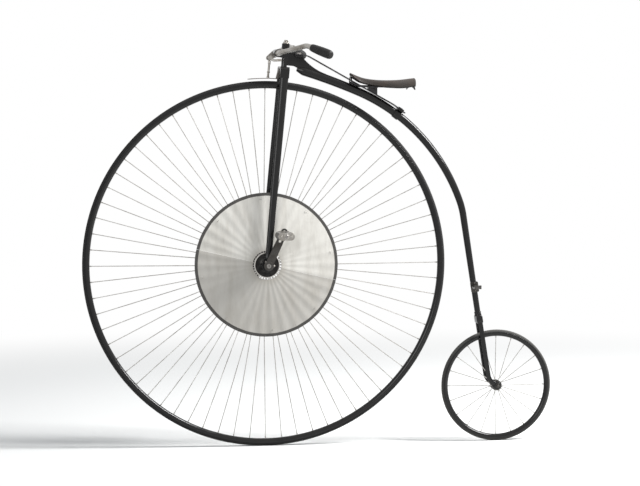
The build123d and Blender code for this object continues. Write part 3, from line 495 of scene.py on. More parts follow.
def roundHead(bm, place, radius, height, steps=14):
    profile = [(0, 0), (0, radius), (height * 0.45, radius * 0.93), (height * 0.85, radius * 0.6), (height, 0)]
    turned(bm, profile, place, steps)


def bentRoute(points, radii, arcSteps):
    stations = [(points[0], (points[1] - points[0]).normalized())]
    for before, corner, after, radius in zip(points, points[1:], points[2:], radii):
        inward, outward = (corner - before).normalized(), (after - corner).normalized()
        angle, axis = inward.angle(outward), inward.cross(outward).normalized()
        start = corner - inward * radius * tan(angle / 2)
        centre = start + axis.cross(inward) * radius
        for step in range(arcSteps + 1):
            swing = Matrix.Rotation(angle * step / arcSteps, 3, axis)
            stations.append((centre + swing @ (start - centre), swing @ inward))
    stations.append((points[-1], (points[-1] - points[-2]).normalized()))
    return stations


def tubeAlong(bm, stations, size, across, segments, square=False):
    lengths = [0.0]
    for (start, _), (finish, _) in zip(stations, stations[1:]):
        lengths.append(lengths[-1] + (finish - start).length)
    rings = []
    for (point, along), reached in zip(stations, lengths):
        width, depth = size(reached / lengths[-1]) if callable(size) else size
        rings.append(ringAt(point, along, width, depth, across, square))
    tube(bm, rings, segments)


# Points on the flat arc that leaves start in that direction and ends at finish
def tangentArc(start, along, finish, steps):
    chord = finish - start
    square = Vector((-along.y, along.x)).normalized()
    centre = start + square * chord.length_squared / (2 * chord.dot(square))
    turn = 2 * chord.angle_signed(along)
    return [centre + Matrix.Rotation(turn * step / steps, 2) @ (start - centre) for step in range(steps + 1)]


def outlineBlock(bm, outline, place, thickness):
    known = set(bm.verts)
    face = bm.faces.new([bm.verts.new((x, y, -thickness / 2)) for x, y in outline])
    grown = bmesh.ops.extrude_face_region(bm, geom=[face])["geom"]
    raised = [item for item in grown if isinstance(item, bmesh.types.BMVert)]
    bmesh.ops.translate(bm, vec=(0, 0, thickness), verts=raised)
    bmesh.ops.transform(bm, matrix=place, verts=freshVerts(bm, known))


# Faces are turned to that sense of the axis, and the thickness grows the other way
def thickened(bm, axis, sense, thickness):
    bmesh.ops.recalc_face_normals(bm, faces=bm.faces)
    if sum(face.normal[axis] for face in bm.faces) * sense < 0:
        bmesh.ops.reverse_faces(bm, faces=bm.faces)
    bmesh.ops.solidify(bm, geom=bm.faces[:], thickness=thickness)


def nodeOf(name):
    return "".join("_" + letter.lower() if letter.isupper() else letter for letter in name)


# A piece stands for the node of its own name, headBolt for head_bolt, unless nodes says otherwise
def finishPiece(name, bm, material, body, nodes=None, bevel=0.0, bevelSteps=2, angle=38):
    bmesh.ops.recalc_face_normals(bm, faces=bm.faces)
    mesh = bpy.data.meshes.new(name)
    bm.to_mesh(mesh)
    bm.free()
    mesh.shade_smooth()
    mesh.set_sharp_from_angle(angle=radians(angle))
    mesh.materials.append(materials[material])
    piece = bpy.data.objects.new(name, mesh)
    bpy.context.scene.collection.objects.link(piece)
    if bevel:
        edge = piece.modifiers.new("edge", "BEVEL")
        edge.width = bevel
        edge.segments = bevelSteps
        edge.limit_method = "ANGLE"
        edge.angle_limit = radians(angle)
        edge.harden_normals = True
    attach(piece, body)
    nodes = [nodeOf(name)] if nodes is None else nodes
    if nodes:
        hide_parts(*nodes)


def copiedNode(name):
    bm = bmesh.new()
    bm.from_mesh(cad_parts[nodeOf(name)].data)
    bmesh.ops.remove_doubles(bm, verts=bm.verts, dist=1e-5)
    bmesh.ops.dissolve_limit(bm, angle_limit=radians(1), verts=bm.verts, edges=bm.edges)
    return bm


# Wheels: solid tyres, crescent rims and wire spokes
wheels = (
    {
        "name": "front", "body": "front_wheel", "centre": frontCentre, "spokes": 68, "wire": 0.0015,
        "flange": 0.048, "flangeAt": 0.048, "steps": 272,
    },
    {
        "name": "rear", "body": "rear_wheel", "centre": rearCentre, "spokes": 20, "wire": 0.0013,
        "flange": 0.020, "flangeAt": 0.014, "steps": 120,
    },
)
rim = {"wall": 0.0022, "depth": 0.0035, "spokeAt": 0.0025, "arcSteps": 18}


# Radius of a tyre's section, and of the circle on which its middle lies
def tyreSection(wheel):
    half = halfOf(wheel["name"] + "_tyre")
    return half.y, half.z - half.y


def rimInside(wheel):
    section, middle = tyreSection(wheel)
    return middle - section - seatGap - rim["wall"] - rim["depth"]


def spunAboutAxle(bm, wheel):
    bmesh.ops.spin(
        bm, geom=bm.verts[:] + bm.edges[:], cent=(0, 0, 0), axis=(0, 1, 0), dvec=(0, 0, 0), angle=2 * pi,
        steps=wheel["steps"], use_merge=True,
    )


def makeTyre(wheel):
    look = {"segments": 40, "mouldLine": radians(45), "mouldReach": radians(5), "groove": 0.0005}
    section, middle = tyreSection(wheel)
    bm = bmesh.new()
    place = Matrix.Translation((middle, 0, 0))
    for vert in bmesh.ops.create_circle(bm, segments=look["segments"], radius=section, matrix=place)["verts"]:
        turn = abs(atan2(vert.co.y, vert.co.x - middle))
        if abs(turn - look["mouldLine"]) < look["mouldReach"]:
            side = 1 if vert.co.y > 0 else -1
            vert.co -= Vector((cos(turn), sin(turn) * side, 0)) * look["groove"]
    spunAboutAxle(bm, wheel)
    bmesh.ops.translate(bm, vec=wheel["centre"], verts=bm.verts)
    name = wheel["name"] + "Tyre"
    finishPiece(name, bm, name, wheel["body"], angle=60)


def makeRim(wheel):
    section, middle = tyreSection(wheel)
    inner = section + seatGap
    outer = inner + rim["wall"]
    bm = bmesh.new()
    ends = []
    for radius, place, begin in (
        (outer, middle - rim["depth"], acos(rim["depth"] / outer)), (inner, middle, pi / 2),
    ):
        known = set(bm.verts)
        first = bm.verts.new((place + radius * cos(begin), radius * sin(begin), 0))
        bmesh.ops.spin(
            bm, geom=[first], cent=(place, 0, 0), axis=(0, 0, 1), dvec=(0, 0, 0), angle=2 * (pi - begin),
            steps=rim["arcSteps"],
        )
        ends.append([vert for vert in freshVerts(bm, known) if len(vert.link_edges) == 1])
    for above in ends[0]:
        bm.edges.new((above, min(ends[1], key=lambda vert: (vert.co - above.co).length)))
    spunAboutAxle(bm, wheel)
    bmesh.ops.remove_doubles(bm, verts=bm.verts, dist=1e-6)
    bmesh.ops.translate(bm, vec=wheel["centre"], verts=bm.verts)
    finishPiece(wheel["name"] + "Rim", bm, "enamel", wheel["body"], bevel=0.0005)


def makeSpokes(wheel):
    look = {"collar": 0.0020, "collarLength": 0.005, "nipple": 0.0023, "nippleLength": 0.007}
    size = wheel["wire"] / wheels[0]["wire"]
    bm = bmesh.new()
    for index in range(wheel["spokes"]):
        turn = 2 * pi * index / wheel["spokes"]
        hand = 1 if index % 2 else -1
        outward = Vector((cos(turn), 0, sin(turn)))
        start = wheel["centre"] + outward * wheel["flange"] + Vector((0, hand * wheel["flangeAt"], 0))
        finish = wheel["centre"] + outward * rimInside(wheel) + Vector((0, hand * rim["spokeAt"], 0))
        run = finish - start
        for low, length, radius, segments in (
            (0.0, run.length, wheel["wire"], 8),
            (0.0, look["collarLength"], look["collar"] * size, 8),
            (run.length - look["nippleLength"], look["nippleLength"], look["nipple"] * size, 6),
        ):
            place = placed(start + run.normalized() * (low + length / 2), run, (0, 1, 0))
            bmesh.ops.create_cone(
                bm, cap_ends=True, segments=segments, radius1=radius, radius2=radius, depth=length, matrix=place,
            )
    finishPiece(wheel["name"] + "Spokes", bm, "wire", wheel["body"])


for wheel in wheels:
    makeTyre(wheel)
    makeRim(wheel)
    makeSpokes(wheel)
print("tyres, rims and spokes made")


def makeHubs():
    frontHalf = (
        (0.008, 0.0172), (0.009, 0.0186), (0.012, 0.0186), (0.013, 0.0172), (0.026, 0.0175), (0.034, 0.0205),
        (0.040, 0.026), (0.044, 0.033), (0.044, 0.048), (0.052, 0.048), (0.052, 0.031), (0.0535, 0.026),
        (0.056, 0.019), (0.056, 0.0092),
    )
    oilCup = {
        "turn": 0.6, "foot": 0.0165,
        "profile": ((0, 0), (0, 0.0045), (0.006, 0.0045), (0.007, 0.00585), (0.011, 0.0054), (0.0125, 0)),
    }
    bm = bmesh.new()
    turned(bm, mirroredProfile(frontHalf), placed(frontCentre, toLeft), 96, closed=True)
    up = Vector((cos(oilCup["turn"]), 0, sin(oilCup["turn"])))
    turned(bm, oilCup["profile"], placed(frontCentre + up * oilCup["foot"], up), 18)
    finishPiece("frontHub", bm, "hub", "front_wheel", bevel=0.0008, bevelSteps=3)

    rearHalf = (
        (0.009, 0.0098), (0.0115, 0.0118), (0.01225, 0.02), (0.01575, 0.02), (0.01575, 0.0105), (0.0182, 0.0095),
        (0.0182, 0.0052),
    )
    bm = bmesh.new()
    turned(bm, mirroredProfile(rearHalf), placed(rearCentre, toLeft), 64, closed=True)
    finishPiece("rearHub", bm, "darkSteel", "rear_wheel", bevel=0.0005)


def makeAxles():
    end = halfOf("front_axle").y
    half = ((end - 0.001, 0.009), (end, 0.008), (end, 0.0032), (end - 0.003, 0.0015), (end - 0.003, 0.0))
    bm = bmesh.new()
    turned(bm, mirroredProfile(half), placed(frontCentre, toLeft), 40)
    finishPiece("frontAxle", bm, "steel", "front_wheel", bevel=0.0003)

    nut = {"at": 0.027, "flats": 0.015, "height": 0.007}
    end = nut["at"] + nut["height"]
    half = (
        (0.01925, 0.005), (0.01925, 0.008), (0.02, 0.008), (0.02, 0.005), (end, 0.005), (end, 0.0045),
        (end + 0.008, 0.0045), (end + 0.009, 0.0035), (end + 0.009, 0.0),
    )
    bm = bmesh.new()
    turned(bm, mirroredProfile(half), placed(rearCentre, toLeft), 28)
    finishPiece("rearAxle", bm, "darkSteel", "frame", bevel=0.0002)
    bm = bmesh.new()
    for hand in (-1, 1):
        place = placed(rearCentre + Vector((0, hand * nut["at"], 0)), (0, hand, 0), (0, 0, 1))
        hexNut(bm, place, nut["flats"], nut["height"])
    finishPiece("rearAxleNuts", bm, "darkSteel", "frame", bevel=0.0005)


makeHubs()
makeAxles()
print("hubs and axles made")


# Sign: sheet iron halves over the left spokes
def spokesStandOut(radius):
    wheel = wheels[0]
    slope = (wheel["flangeAt"] - rim["spokeAt"]) / (rimInside(wheel) - wheel["flange"])
    return wheel["flangeAt"] - (radius - wheel["flange"]) * slope


def makeSign(half, begin):
    trim = sign["gap"] / 2 / sign["outer"]
    spokeTurn = 4 * pi / wheels[0]["spokes"]
    steps = round(pi / spokeTurn * sign["stepsPerSpoke"])
    bm = bmesh.new()
    line = []
    for ring in range(sign["rings"] + 1):
        radius = sign["hole"] + (sign["outer"] - sign["hole"]) * ring / sign["rings"]
        lift = spokesStandOut(radius) + sign["lift"]
        line.append(bm.verts.new((radius * cos(begin + trim), -lift, radius * sin(begin + trim))))
    edges = [bm.edges.new(pair) for pair in zip(line, line[1:])]
    bmesh.ops.spin(
        bm, geom=line + edges, cent=(0, 0, 0), axis=(0, -1, 0), dvec=(0, 0, 0), angle=pi - 2 * trim, steps=steps,
    )
    for vert in bm.verts:  # the sheet sinks a little between spokes
        turn = atan2(vert.co.z, vert.co.x) / spokeTurn
        away = sqrt(vert.co.x ** 2 + vert.co.z ** 2) / sign["outer"]
        vert.co.y += sign["sag"] * away * abs(sin(pi * turn)) ** 1.5
    thickened(bm, 1, 1, sign["sheet"])
    bmesh.ops.translate(bm, vec=frontCentre, verts=bm.verts)
    node, name = "sign_" + half.lower(), "sign" + half
    finishPiece(name + "Half", bm, name, "front_wheel", [node], bevel=0.0003, angle=50)


def makeSignTies():
    look = {
        "spokes": (1, 5, 9, 13, 18, 22, 26, 30), "radius": 0.246, "wire": 0.0007, "wide": 0.0052, "deep": 0.0040,
        "ahead": 0.0007, "steps": 20,
    }
    bm = bmesh.new()
    for index in look["spokes"]:
        turn = 4 * pi * index / wheels[0]["spokes"]
        outward, around = Vector((cos(turn), 0, sin(turn))), Vector((-sin(turn), 0, cos(turn)))
        lift = spokesStandOut(look["radius"]) + look["ahead"]
        middle = frontCentre + outward * look["radius"] + toLeft * lift
        rings = []
        for step in range(look["steps"] + 1):
            angle = 2 * pi * step / look["steps"]
            point = middle + around * look["wide"] * cos(angle) + toLeft * look["deep"] * sin(angle)
            along = toLeft * look["deep"] * cos(angle) - around * look["wide"] * sin(angle)
            rings.append(ringAt(point, along, look["wire"], look["wire"], outward))
        tube(bm, rings, 8, joined=True)
    finishPiece("signTies", bm, "wire", "front_wheel", ())


makeSign("Upper", -sign["lean"])
makeSign("Lower", pi - sign["lean"])
makeSignTies()
print("sign made")


# Bearings, cranks and pedals
fork = {
    "pad": 0.022, "foot": (0.034, 0.018, 0.005), "lowAcross": 0.0685, "highAcross": 0.038, "low": (0.012, 0.006),
    "high": (0.016, 0.008), "top": 0.700, "headTop": 0.828,
}
crank = {"turn": radians(65), "throw": 0.127, "pinAt": 0.083 + 0.021 * 0.72, "armFrom": 0.086, "armTo": 0.097}
pedal = {
    "from": 0.102, "length": 0.088, "plate": 0.0035, "spacing": 0.038, "flats": 0.017, "nut": 0.007,
    "pinEnd": 0.003, "play": 0.0001, "ribs": 11,
}


def makeBearing(side, hand):
    look = {"boltBack": 0.0125, "boltHeight": 0.027, "face": 0.080, "oiler": 0.0235}
    out = Vector((0, hand, 0))
    bm = copiedNode("bearing" + side)
    for back in (-1, 1):
        place = onFork(back * look["boltBack"], hand * fork["lowAcross"], look["boltHeight"])
        hexNut(bm, place, 0.0075, 0.004, 0.0022)
    washer = [(0.0, 0.0092), (0.0, 0.0175), (0.0012, 0.0165), (0.0014, 0.0092)]
    turned(bm, washer, placed(frontCentre + out * look["face"], out), 40, closed=True)
    oiler = [(0, 0), (0, 0.003), (0.004, 0.003), (0.0045, 0.0045), (0.009, 0.0042), (0.010, 0)]
    front = frontCentre - steerBack * look["oiler"] + out * fork["lowAcross"]
    turned(bm, oiler, placed(front, -steerBack), 18)
    finishPiece("bearing" + side, bm, "enamel", "front_fork", bevel=0.001, bevelSteps=3)


def crankDirections(hand):
    turn = crank["turn"] if hand < 0 else crank["turn"] + pi
    return Vector((cos(turn), 0, sin(turn))), Vector((0, hand, 0))


def makeCrank(side, hand):
    pin = {"along": 0.0085, "low": -0.020, "high": 0.021, "radius": 0.0034, "rounding": 0.0006, "nutAt": 0.0155}
    bm = copiedNode("crank" + side)
    finishPiece("crank" + side, bm, "darkSteel", "front_wheel", bevel=0.0016, bevelSteps=3)
    along, out = crankDirections(hand)
    across = along.cross(out)
    seat = frontCentre + out * crank["pinAt"] + along * pin["along"]
    bm = bmesh.new()
    rod(bm, seat + across * pin["low"], seat + across * pin["high"], pin["radius"], pin["rounding"])
    hexNut(bm, placed(seat + across * pin["nutAt"], across, along), 0.010, 0.0045)
    finishPiece("crankPin" + side, bm, "steel", "front_wheel", (), bevel=0.0003)


def makePedal(side, hand):
    body = side.lower() + "_pedal"
    along, out = crankDirections(hand)
    centre = frontCentre + along * crank["throw"]
    begin, start = crank["armFrom"], crank["armTo"]
    outside = pedal["from"] + pedal["length"]
    end = outside + pedal["pinEnd"]
    bm = bmesh.new()
    profile = [
        (begin, 0), (begin, 0.005), (start, 0.005), (start, 0.0092), (start + 0.0008, 0.01),
        (start + 0.0032, 0.01), (start + 0.004, 0.0092), (start + 0.004, 0.006), (end - 0.0008, 0.006),
        (end, 0.005), (end, 0),
    ]
    turned(bm, profile, placed(centre, out), 28)
    hexNut(bm, placed(centre + out * begin, -out, along), pedal["flats"], pedal["nut"])
    finishPiece("pedalPin" + side, bm, "steel", "front_wheel", bevel=0.0004)

    bm = copiedNode("pedalFrame" + side)
    rows = [centre + Vector((shift * pedal["spacing"] / 2, 0, 0)) for shift in (-1, 1)]
    for row in rows:
        roundHead(bm, placed(row + out * outside, out), 0.0048, 0.0026, 18)
    collar = [(0.0, 0.0061), (0.0, 0.0098), (0.0016, 0.0098), (0.0026, 0.0088), (0.0026, 0.0061)]
    turned(bm, collar, placed(centre + out * outside, out), 28, closed=True)
    finishPiece("pedalFrame" + side, bm, "nickel", body, bevel=0.0007)

    first = pedal["from"] + pedal["plate"] + pedal["play"]
    pitch = (pedal["length"] - 2 * (pedal["plate"] + pedal["play"])) / pedal["ribs"]
    bm = bmesh.new()
    for row in rows:
        rings = []
        for index in range(pedal["ribs"]):
            for share, scale in ((0.02, 0.9), (0.16, 1.0), (0.72, 1.0), (0.86, 0.9)):
                point = row + out * (first + pitch * (index + share))
                rings.append(ringAt(point, out, 0.008 * scale, 0.012 * scale, (1, 0, 0), True))
        tube(bm, rings, 4)
    finishPiece("pedalRubbers" + side, bm, "pedal", body, bevel=0.0012, angle=60)


for side, hand in hands:
    makeBearing(side, hand)
    makeCrank(side, hand)
    makePedal(side, hand)
print("bearings, cranks and pedals made")


# Fork blades and head
def makeBlade(side, hand):
    look = {
        "overlap": 0.001, "reach": 0.002,
        "flares": (
            (0.0, 1.28), (0.004, 1.12), (0.012, 1.02), (0.03, 1.0), (0.25, 1.0), (0.5, 1.0), (0.75, 1.0),
            (0.96, 1.0), (1.0, 1.0),
        ),
    }
    footHeight = fork["foot"][2]
    bottom = fork["pad"] + footHeight - look["overlap"]
    bm = bmesh.new()
    block(bm, onFork(0, hand * fork["lowAcross"], fork["pad"] + footHeight / 2), fork["foot"], 0.0018, 3)
    rings = []
    for share, flare in look["flares"]:
        height = bottom + (fork["top"] + look["reach"] - bottom) * share
        across = fork["lowAcross"] + (fork["highAcross"] - fork["lowAcross"]) * share
        width, depth = (
            (low + (high - low) * share) * flare for low, high in zip(fork["low"], fork["high"])
        )
        rings.append(ringAt(atFork(0, hand * across, height), steerUp, width, depth, steerBack))
    tube(bm, rings, 40)
    finishPiece("forkBlade" + side, bm, "enamel", "front_fork", angle=60)


def makeHead():
    look = {"nutFlats": 0.022, "nutHeight": 0.007, "square": (0.014, 0.014, 0.007)}
    bm = copiedNode("forkHead")
    finishPiece("forkHead", bm, "enamel", "front_fork", bevel=0.0016, bevelSteps=3, angle=30)
    top = fork["headTop"] + look["nutHeight"]
    profile = [
        (0.797, 0.0), (0.797, 0.005), (0.798, 0.0055), (0.804, 0.0055), (0.804, 0.008), (top, 0.008), (top, 0.0),
    ]
    bm = bmesh.new()
    turned(bm, profile, onFork(0, 0, 0), 28)
    block(bm, onFork(0, 0, top + look["square"][2] / 2), look["square"], 0.0012, 3)
    finishPiece("headBolt", bm, "nickel", "front_fork")
    bm = bmesh.new()
    hexNut(bm, onFork(0, 0, fork["headTop"]), look["nutFlats"], look["nutHeight"])
    finishPiece("headLockNut", bm, "nickel", "front_fork", bevel=0.0007)


for side, hand in hands:
    makeBlade(side, hand)
makeHead()
print("fork made")


# Handlebar, grips and spoon brake
bar = {
    "radius": 0.0095, "points": ((-0.030, 0.075, 0.790), (0.046, 0.218, 0.824), (0.116, 0.326, 0.797)),
    "bends": (0.120, 0.060), "collarAt": 0.036,
}


def makeGrip(side, tip, along):
    grip = {
        "length": 0.112, "cap": 0.008, "ribs": 20, "from": 0.012, "pitch": 0.0042, "slim": 0.0145,
        "swell": 0.0025, "swellFrom": 0.01, "swellRun": 0.07, "groove": 0.0007,
    }
    place = placed(tip - along * (grip["length"] - grip["cap"]), along, (0, 0, 1))
    profile = [(0.0, 0.0), (0.0, 0.0097), (0.0, 0.0125), (0.004, 0.0125), (0.005, 0.0135), (0.009, 0.0142)]
    for index in range(grip["ribs"]):
        at = grip["from"] + index * grip["pitch"]
        share = min(1.0, max(0.0, (at - grip["swellFrom"]) / grip["swellRun"]))
        crest = grip["slim"] + grip["swell"] * sin(share * pi / 2)
        trough = crest - grip["groove"]
        profile += [(at, trough), (at + 0.0008, crest), (at + 0.003, crest), (at + 0.0038, trough)]
    profile += [(0.098, 0.0168), (0.104, 0.016), (0.108, 0.0145), (0.1112, 0.011), (0.112, 0.006), (0.112, 0.0)]
    bm = bmesh.new()
    turned(bm, profile, place, 40)
    finishPiece("grip" + side, bm, "grip", "front_fork", angle=60)
    ferrule = [
        (-0.001, 0.0097), (-0.001, 0.0118), (0.0, 0.0126), (0.0042, 0.0129), (0.005, 0.0127), (0.005, 0.0097),
    ]
    bm = bmesh.new()
    turned(bm, ferrule, place, 40, closed=True)
    finishPiece("gripFerrule" + side, bm, "nickel", "front_fork", (), bevel=0.0003)


def makeHandlebar():
    points = [atFork(back, -across, height) for back, across, height in reversed(bar["points"])]
    points += [atFork(*place) for place in bar["points"]]
    bends = bar["bends"][::-1] + bar["bends"]
    bm = bmesh.new()
    tubeAlong(bm, bentRoute(points, bends, 14), (bar["radius"], bar["radius"]), (0, 0, 1), 28)
    back, _, height = bar["points"][0]
    collar = mirroredProfile(((0.002, 0.0118), (0.003, 0.0112), (0.003, 0.0096)))
    for hand in (-1, 1):
        place = placed(atFork(back, hand * bar["collarAt"], height), (0, 1, 0))
        turned(bm, collar, place, 32, closed=True)
    finishPiece("handlebarTube", bm, "nickel", "front_fork", ["handlebar"], angle=50)
    for (side, _), tip, before in zip(hands, (points[0], points[-1]), (points[1], points[-2])):
        makeGrip(side, tip, (tip - before).normalized())


def makeBrake():
    look = {
        "shaft": 0.005, "forward": -0.056, "height": 0.770, "inner": -0.010, "straight": 0.064,
        "knee": (-0.020, 0.134, 0.764), "end": (0.060, 0.236, 0.776), "bends": (0.020, 0.080), "flatFrom": 0.55,
        "rod": 0.004, "spoonRadius": 0.697, "collars": (-0.0085, 0.031, 0.041), "nutUp": 0.0195,
    }
    back, height = look["forward"], look["height"]

    def leverSize(share):
        spread = max(0.0, share - look["flatFrom"]) / (1 - look["flatFrom"])
        return look["shaft"] * (1 + 0.35 * spread), look["shaft"] * (1 - 0.42 * spread)

    points = [atFork(back, across, height) for across in (look["inner"], look["straight"])]
    points += [atFork(*look["knee"]), atFork(*look["end"])]
    stations = bentRoute(points, look["bends"], 12)
    bm = bmesh.new()
    tubeAlong(bm, stations, leverSize, (0.4, 1.0, 0.3), 20)
    roundHead(bm, placed(*stations[-1]), 0.0052, 0.004, 20)
    collar = mirroredProfile(((0.0018, 0.0072), (0.0018, 0.0051)))
    for across in look["collars"]:
        turned(bm, collar, placed(atFork(back, across, height), (0, 1, 0)), 24, closed=True)
    finishPiece("brakeLever", bm, "nickel", "front_fork", angle=50)

    bm = copiedNode("brakeBracket")
    place = placed(atFork(-0.0445, 0.036, 0.7885), steerUp - steerBack * 0.5, (0, 1, 0))
    hexNut(bm, place, 0.007, 0.0035, 0.0018)
    finishPiece("brakeBracket", bm, "nickel", "front_fork", bevel=0.001)

    foot = sqrt(look["spoonRadius"] ** 2 - (back + look["rod"]) ** 2)
    top = height - look["shaft"] - seatGap
    profile = [
        (foot + seatGap, 0.0), (foot + seatGap, 0.0055), (foot + 0.004, 0.0055), (foot + 0.006, 0.004),
        (top - 0.02, 0.004), (top - 0.018, 0.0052), (top - 0.006, 0.0052), (top - 0.004, 0.004), (top, 0.004),
        (top, 0.0),
    ]
    bm = bmesh.new()
    turned(bm, profile, onFork(back, 0, 0), 20)
    hexNut(bm, onFork(back, 0, foot + look["nutUp"]), 0.0105, 0.005)
    finishPiece("brakeRod", bm, "nickel", "front_fork", bevel=0.0004)

    bm = copiedNode("brakeSpoon")
    for across in (-0.005, 0.005):
        roundHead(bm, placed(atFork(-0.0205, across, 0.7355), -steerBack), 0.0028, 0.0015)
    finishPiece("brakeSpoon", bm, "steel", "front_fork", bevel=0.0007)


makeHandlebar()
makeBrake()
print("handlebar and brake made")


# Backbone: neck, bow, knee and leg, drawn in the plane of the wheels from the front axle
bone = {
    "bowCentre": Vector((0.070, -0.013)), "bowRadius": 0.717, "topAngle": radians(67), "lowAngle": radians(20),
    "neckRadius": 2.250, "neckLength": 0.245, "kneeRadius": 0.300, "legLean": radians(8.8), "legEnd": -0.205,
    "wide": 0.017, "slim": 0.011,
}
pad = {"from": 0.036, "size": (0.032, 0.030, 0.007), "top": 0.790}


def sidePoint(point):
    return frontCentre + Vector((point.x, 0, point.y))


def onCircle(centre, radius, angle):
    return centre + Vector((cos(angle), sin(angle))) * radius


boneTop = onCircle(bone["bowCentre"], bone["bowRadius"], bone["topAngle"])
boneLow = onCircle(bone["bowCentre"], bone["bowRadius"], bone["lowAngle"])
neckCentre = onCircle(boneTop, bone["neckRadius"], bone["topAngle"] + pi)
kneeCentre = onCircle(boneLow, bone["kneeRadius"], bone["lowAngle"] + pi)
kneeLow = onCircle(kneeCentre, bone["kneeRadius"], bone["legLean"])
legEnd = Vector((kneeLow.x + (kneeLow.y - bone["legEnd"]) * tan(bone["legLean"]), bone["legEnd"]))
neckStart = bone["topAngle"] + bone["neckLength"] / bone["neckRadius"]
boneArcs = [
    {"centre": centre, "radius": radius, "start": start, "run": (start - end) * radius}
    for centre, radius, start, end in (
        (neckCentre, bone["neckRadius"], neckStart, bone["topAngle"]),
        (bone["bowCentre"], bone["bowRadius"], bone["topAngle"], bone["lowAngle"]),
        (kneeCentre, bone["kneeRadius"], bone["lowAngle"], bone["legLean"]),
    )
]
boneLength = sum(arc["run"] for arc in boneArcs) + (legEnd - kneeLow).length


# Point, outward and onward directions at that distance from the backbone's front end
def boneAt(distance):
    for arc in boneArcs:
        if distance < arc["run"]:
            angle = arc["start"] - distance / arc["radius"]
            point = onCircle(arc["centre"], arc["radius"], angle)
            break
        distance -= arc["run"]
    else:
        angle = bone["legLean"]
        point = kneeLow + Vector((sin(angle), -cos(angle))) * distance
    return sidePoint(point), Vector((cos(angle), 0, sin(angle))), Vector((sin(angle), 0, -cos(angle)))


def boneRadius(distance):
    return bone["wide"] + (bone["slim"] - bone["wide"]) * distance / boneLength


def makeBoneTube():
    look = {"stations": 110, "segments": 36, "noseEnd": 0.032}
    sizes = [(0.0, 0.0078), (0.002, 0.0088), (0.010, 0.0115), (0.018, 0.0143)]
    sizes.append((0.026, boneRadius(0.026) * 0.985))
    for index in range(look["stations"] + 1):
        distance = look["noseEnd"] + (boneLength - look["noseEnd"]) * index / look["stations"]
        sizes.append((distance, boneRadius(distance)))
    rings = []
    for distance, radius in sizes:
        point, outward, onward = boneAt(distance)
        rings.append(ringAt(point, onward, radius, radius, outward))
    bm = bmesh.new()
    tube(bm, rings, look["segments"])
    finishPiece("backboneTube", bm, "enamel", "frame", ["backbone"], angle=60)


def makeNeck():
    look = {"thick": 0.013, "low": 0.748, "high": 0.797, "noseLength": 0.026, "root": 0.110, "arcSteps": 16}
    spindle = [
        (0.728, 0.0), (0.728, 0.0055), (0.730, 0.007), (0.744, 0.007), (0.744, 0.0087), (0.745, 0.0095),
        (0.750, 0.0098), (0.756, 0.0095), (0.790, 0.0095), (0.796, 0.0098), (0.802, 0.0095), (0.803, 0.0087),
        (0.803, 0.0056), (0.797, 0.0054), (0.796, 0.0),
    ]

    def inFork(direction):
        return Vector((direction.dot(steerBack), direction.dot(steerUp)))

    root, outward, onward = boneAt(look["root"])
    above = inFork(root + outward * boneRadius(look["root"]) - frontCentre)
    padBack = pad["from"] + pad["size"][0]
    padLow = Vector((padBack, pad["top"] - pad["size"][2]))
    outline = tangentArc(above, -inFork(onward), padLow, look["arcSteps"])
    outline += [
        Vector(corner) for corner in (
            (padBack, pad["top"]), (pad["from"], pad["top"]), (pad["from"], look["high"]),
            (0.0, look["high"]), (0.0, look["low"]), (pad["from"], look["low"]),
        )
    ]
    outline += [inFork(boneAt(look["noseLength"])[0] - frontCentre), inFork(root - frontCentre)]
    plane = Matrix((steerBack, steerUp, steerBack.cross(steerUp))).transposed().to_4x4()
    bm = bmesh.new()
    outlineBlock(bm, outline, Matrix.Translation(frontCentre) @ plane, look["thick"])
    middle = onFork(pad["from"] + pad["size"][0] / 2, 0, pad["top"] - pad["size"][2] / 2)
    block(bm, middle, pad["size"], 0.0015, 3)
    turned(bm, spindle, onFork(0, 0, 0), 36)
    finishPiece(
        "backboneNeck", bm, "enamel", "frame", ["backbone"], bevel=0.001, bevelSteps=3, angle=30,
    )


makeBoneTube()
makeNeck()
print("backbone made")


# Rear fork and step
def makeRearFork():
    look = {
        "gap": 0.040, "thick": 0.0062, "width": 0.018, "corner": Vector((-0.032, 0, 0.0215)), "bend": 0.045,
        "bore": 0.0051, "eye": 0.014, "eyeThick": 0.007, "rounding": 0.0008, "crown": (0.024, 0.054, 0.030),
    }
    half = look["eyeThick"] / 2
    eye = mirroredProfile((
        (half - look["rounding"], look["eye"]), (half, look["eye"] - look["rounding"]), (half, look["bore"]),
    ))
    bm = bmesh.new()
    for hand in (-1, 1):
        across = Vector((0, hand * (look["gap"] + look["eyeThick"]) / 2, 0))
        route = [sidePoint(legEnd) + across, rearCentre + look["corner"] + across, rearCentre + across]
        size = (look["thick"] / 2, look["width"] / 2)
        tubeAlong(bm, bentRoute(route, (look["bend"],), 16), size, (0, 1, 0), 28)
        turned(bm, eye, placed(rearCentre + across, (0, hand, 0)), 36, closed=True)
    point, outward, onward = boneAt(boneLength)
    block(bm, placed(point + onward * look["crown"][2] / 2, onward, outward), look["crown"], 0.0055, 5)
    collar = [
        (-0.014, 0.0112), (-0.014, 0.0125), (-0.013, 0.0135), (-0.011, 0.0135), (-0.010, 0.0128),
        (-0.004, 0.0128), (-0.002, 0.0136), (0.002, 0.0136), (0.002, 0.0112),
    ]
    turned(bm, collar, placed(point, onward, outward), 40, closed=True)
    finishPiece("rearFork", bm, "enamel", "frame", angle=50)


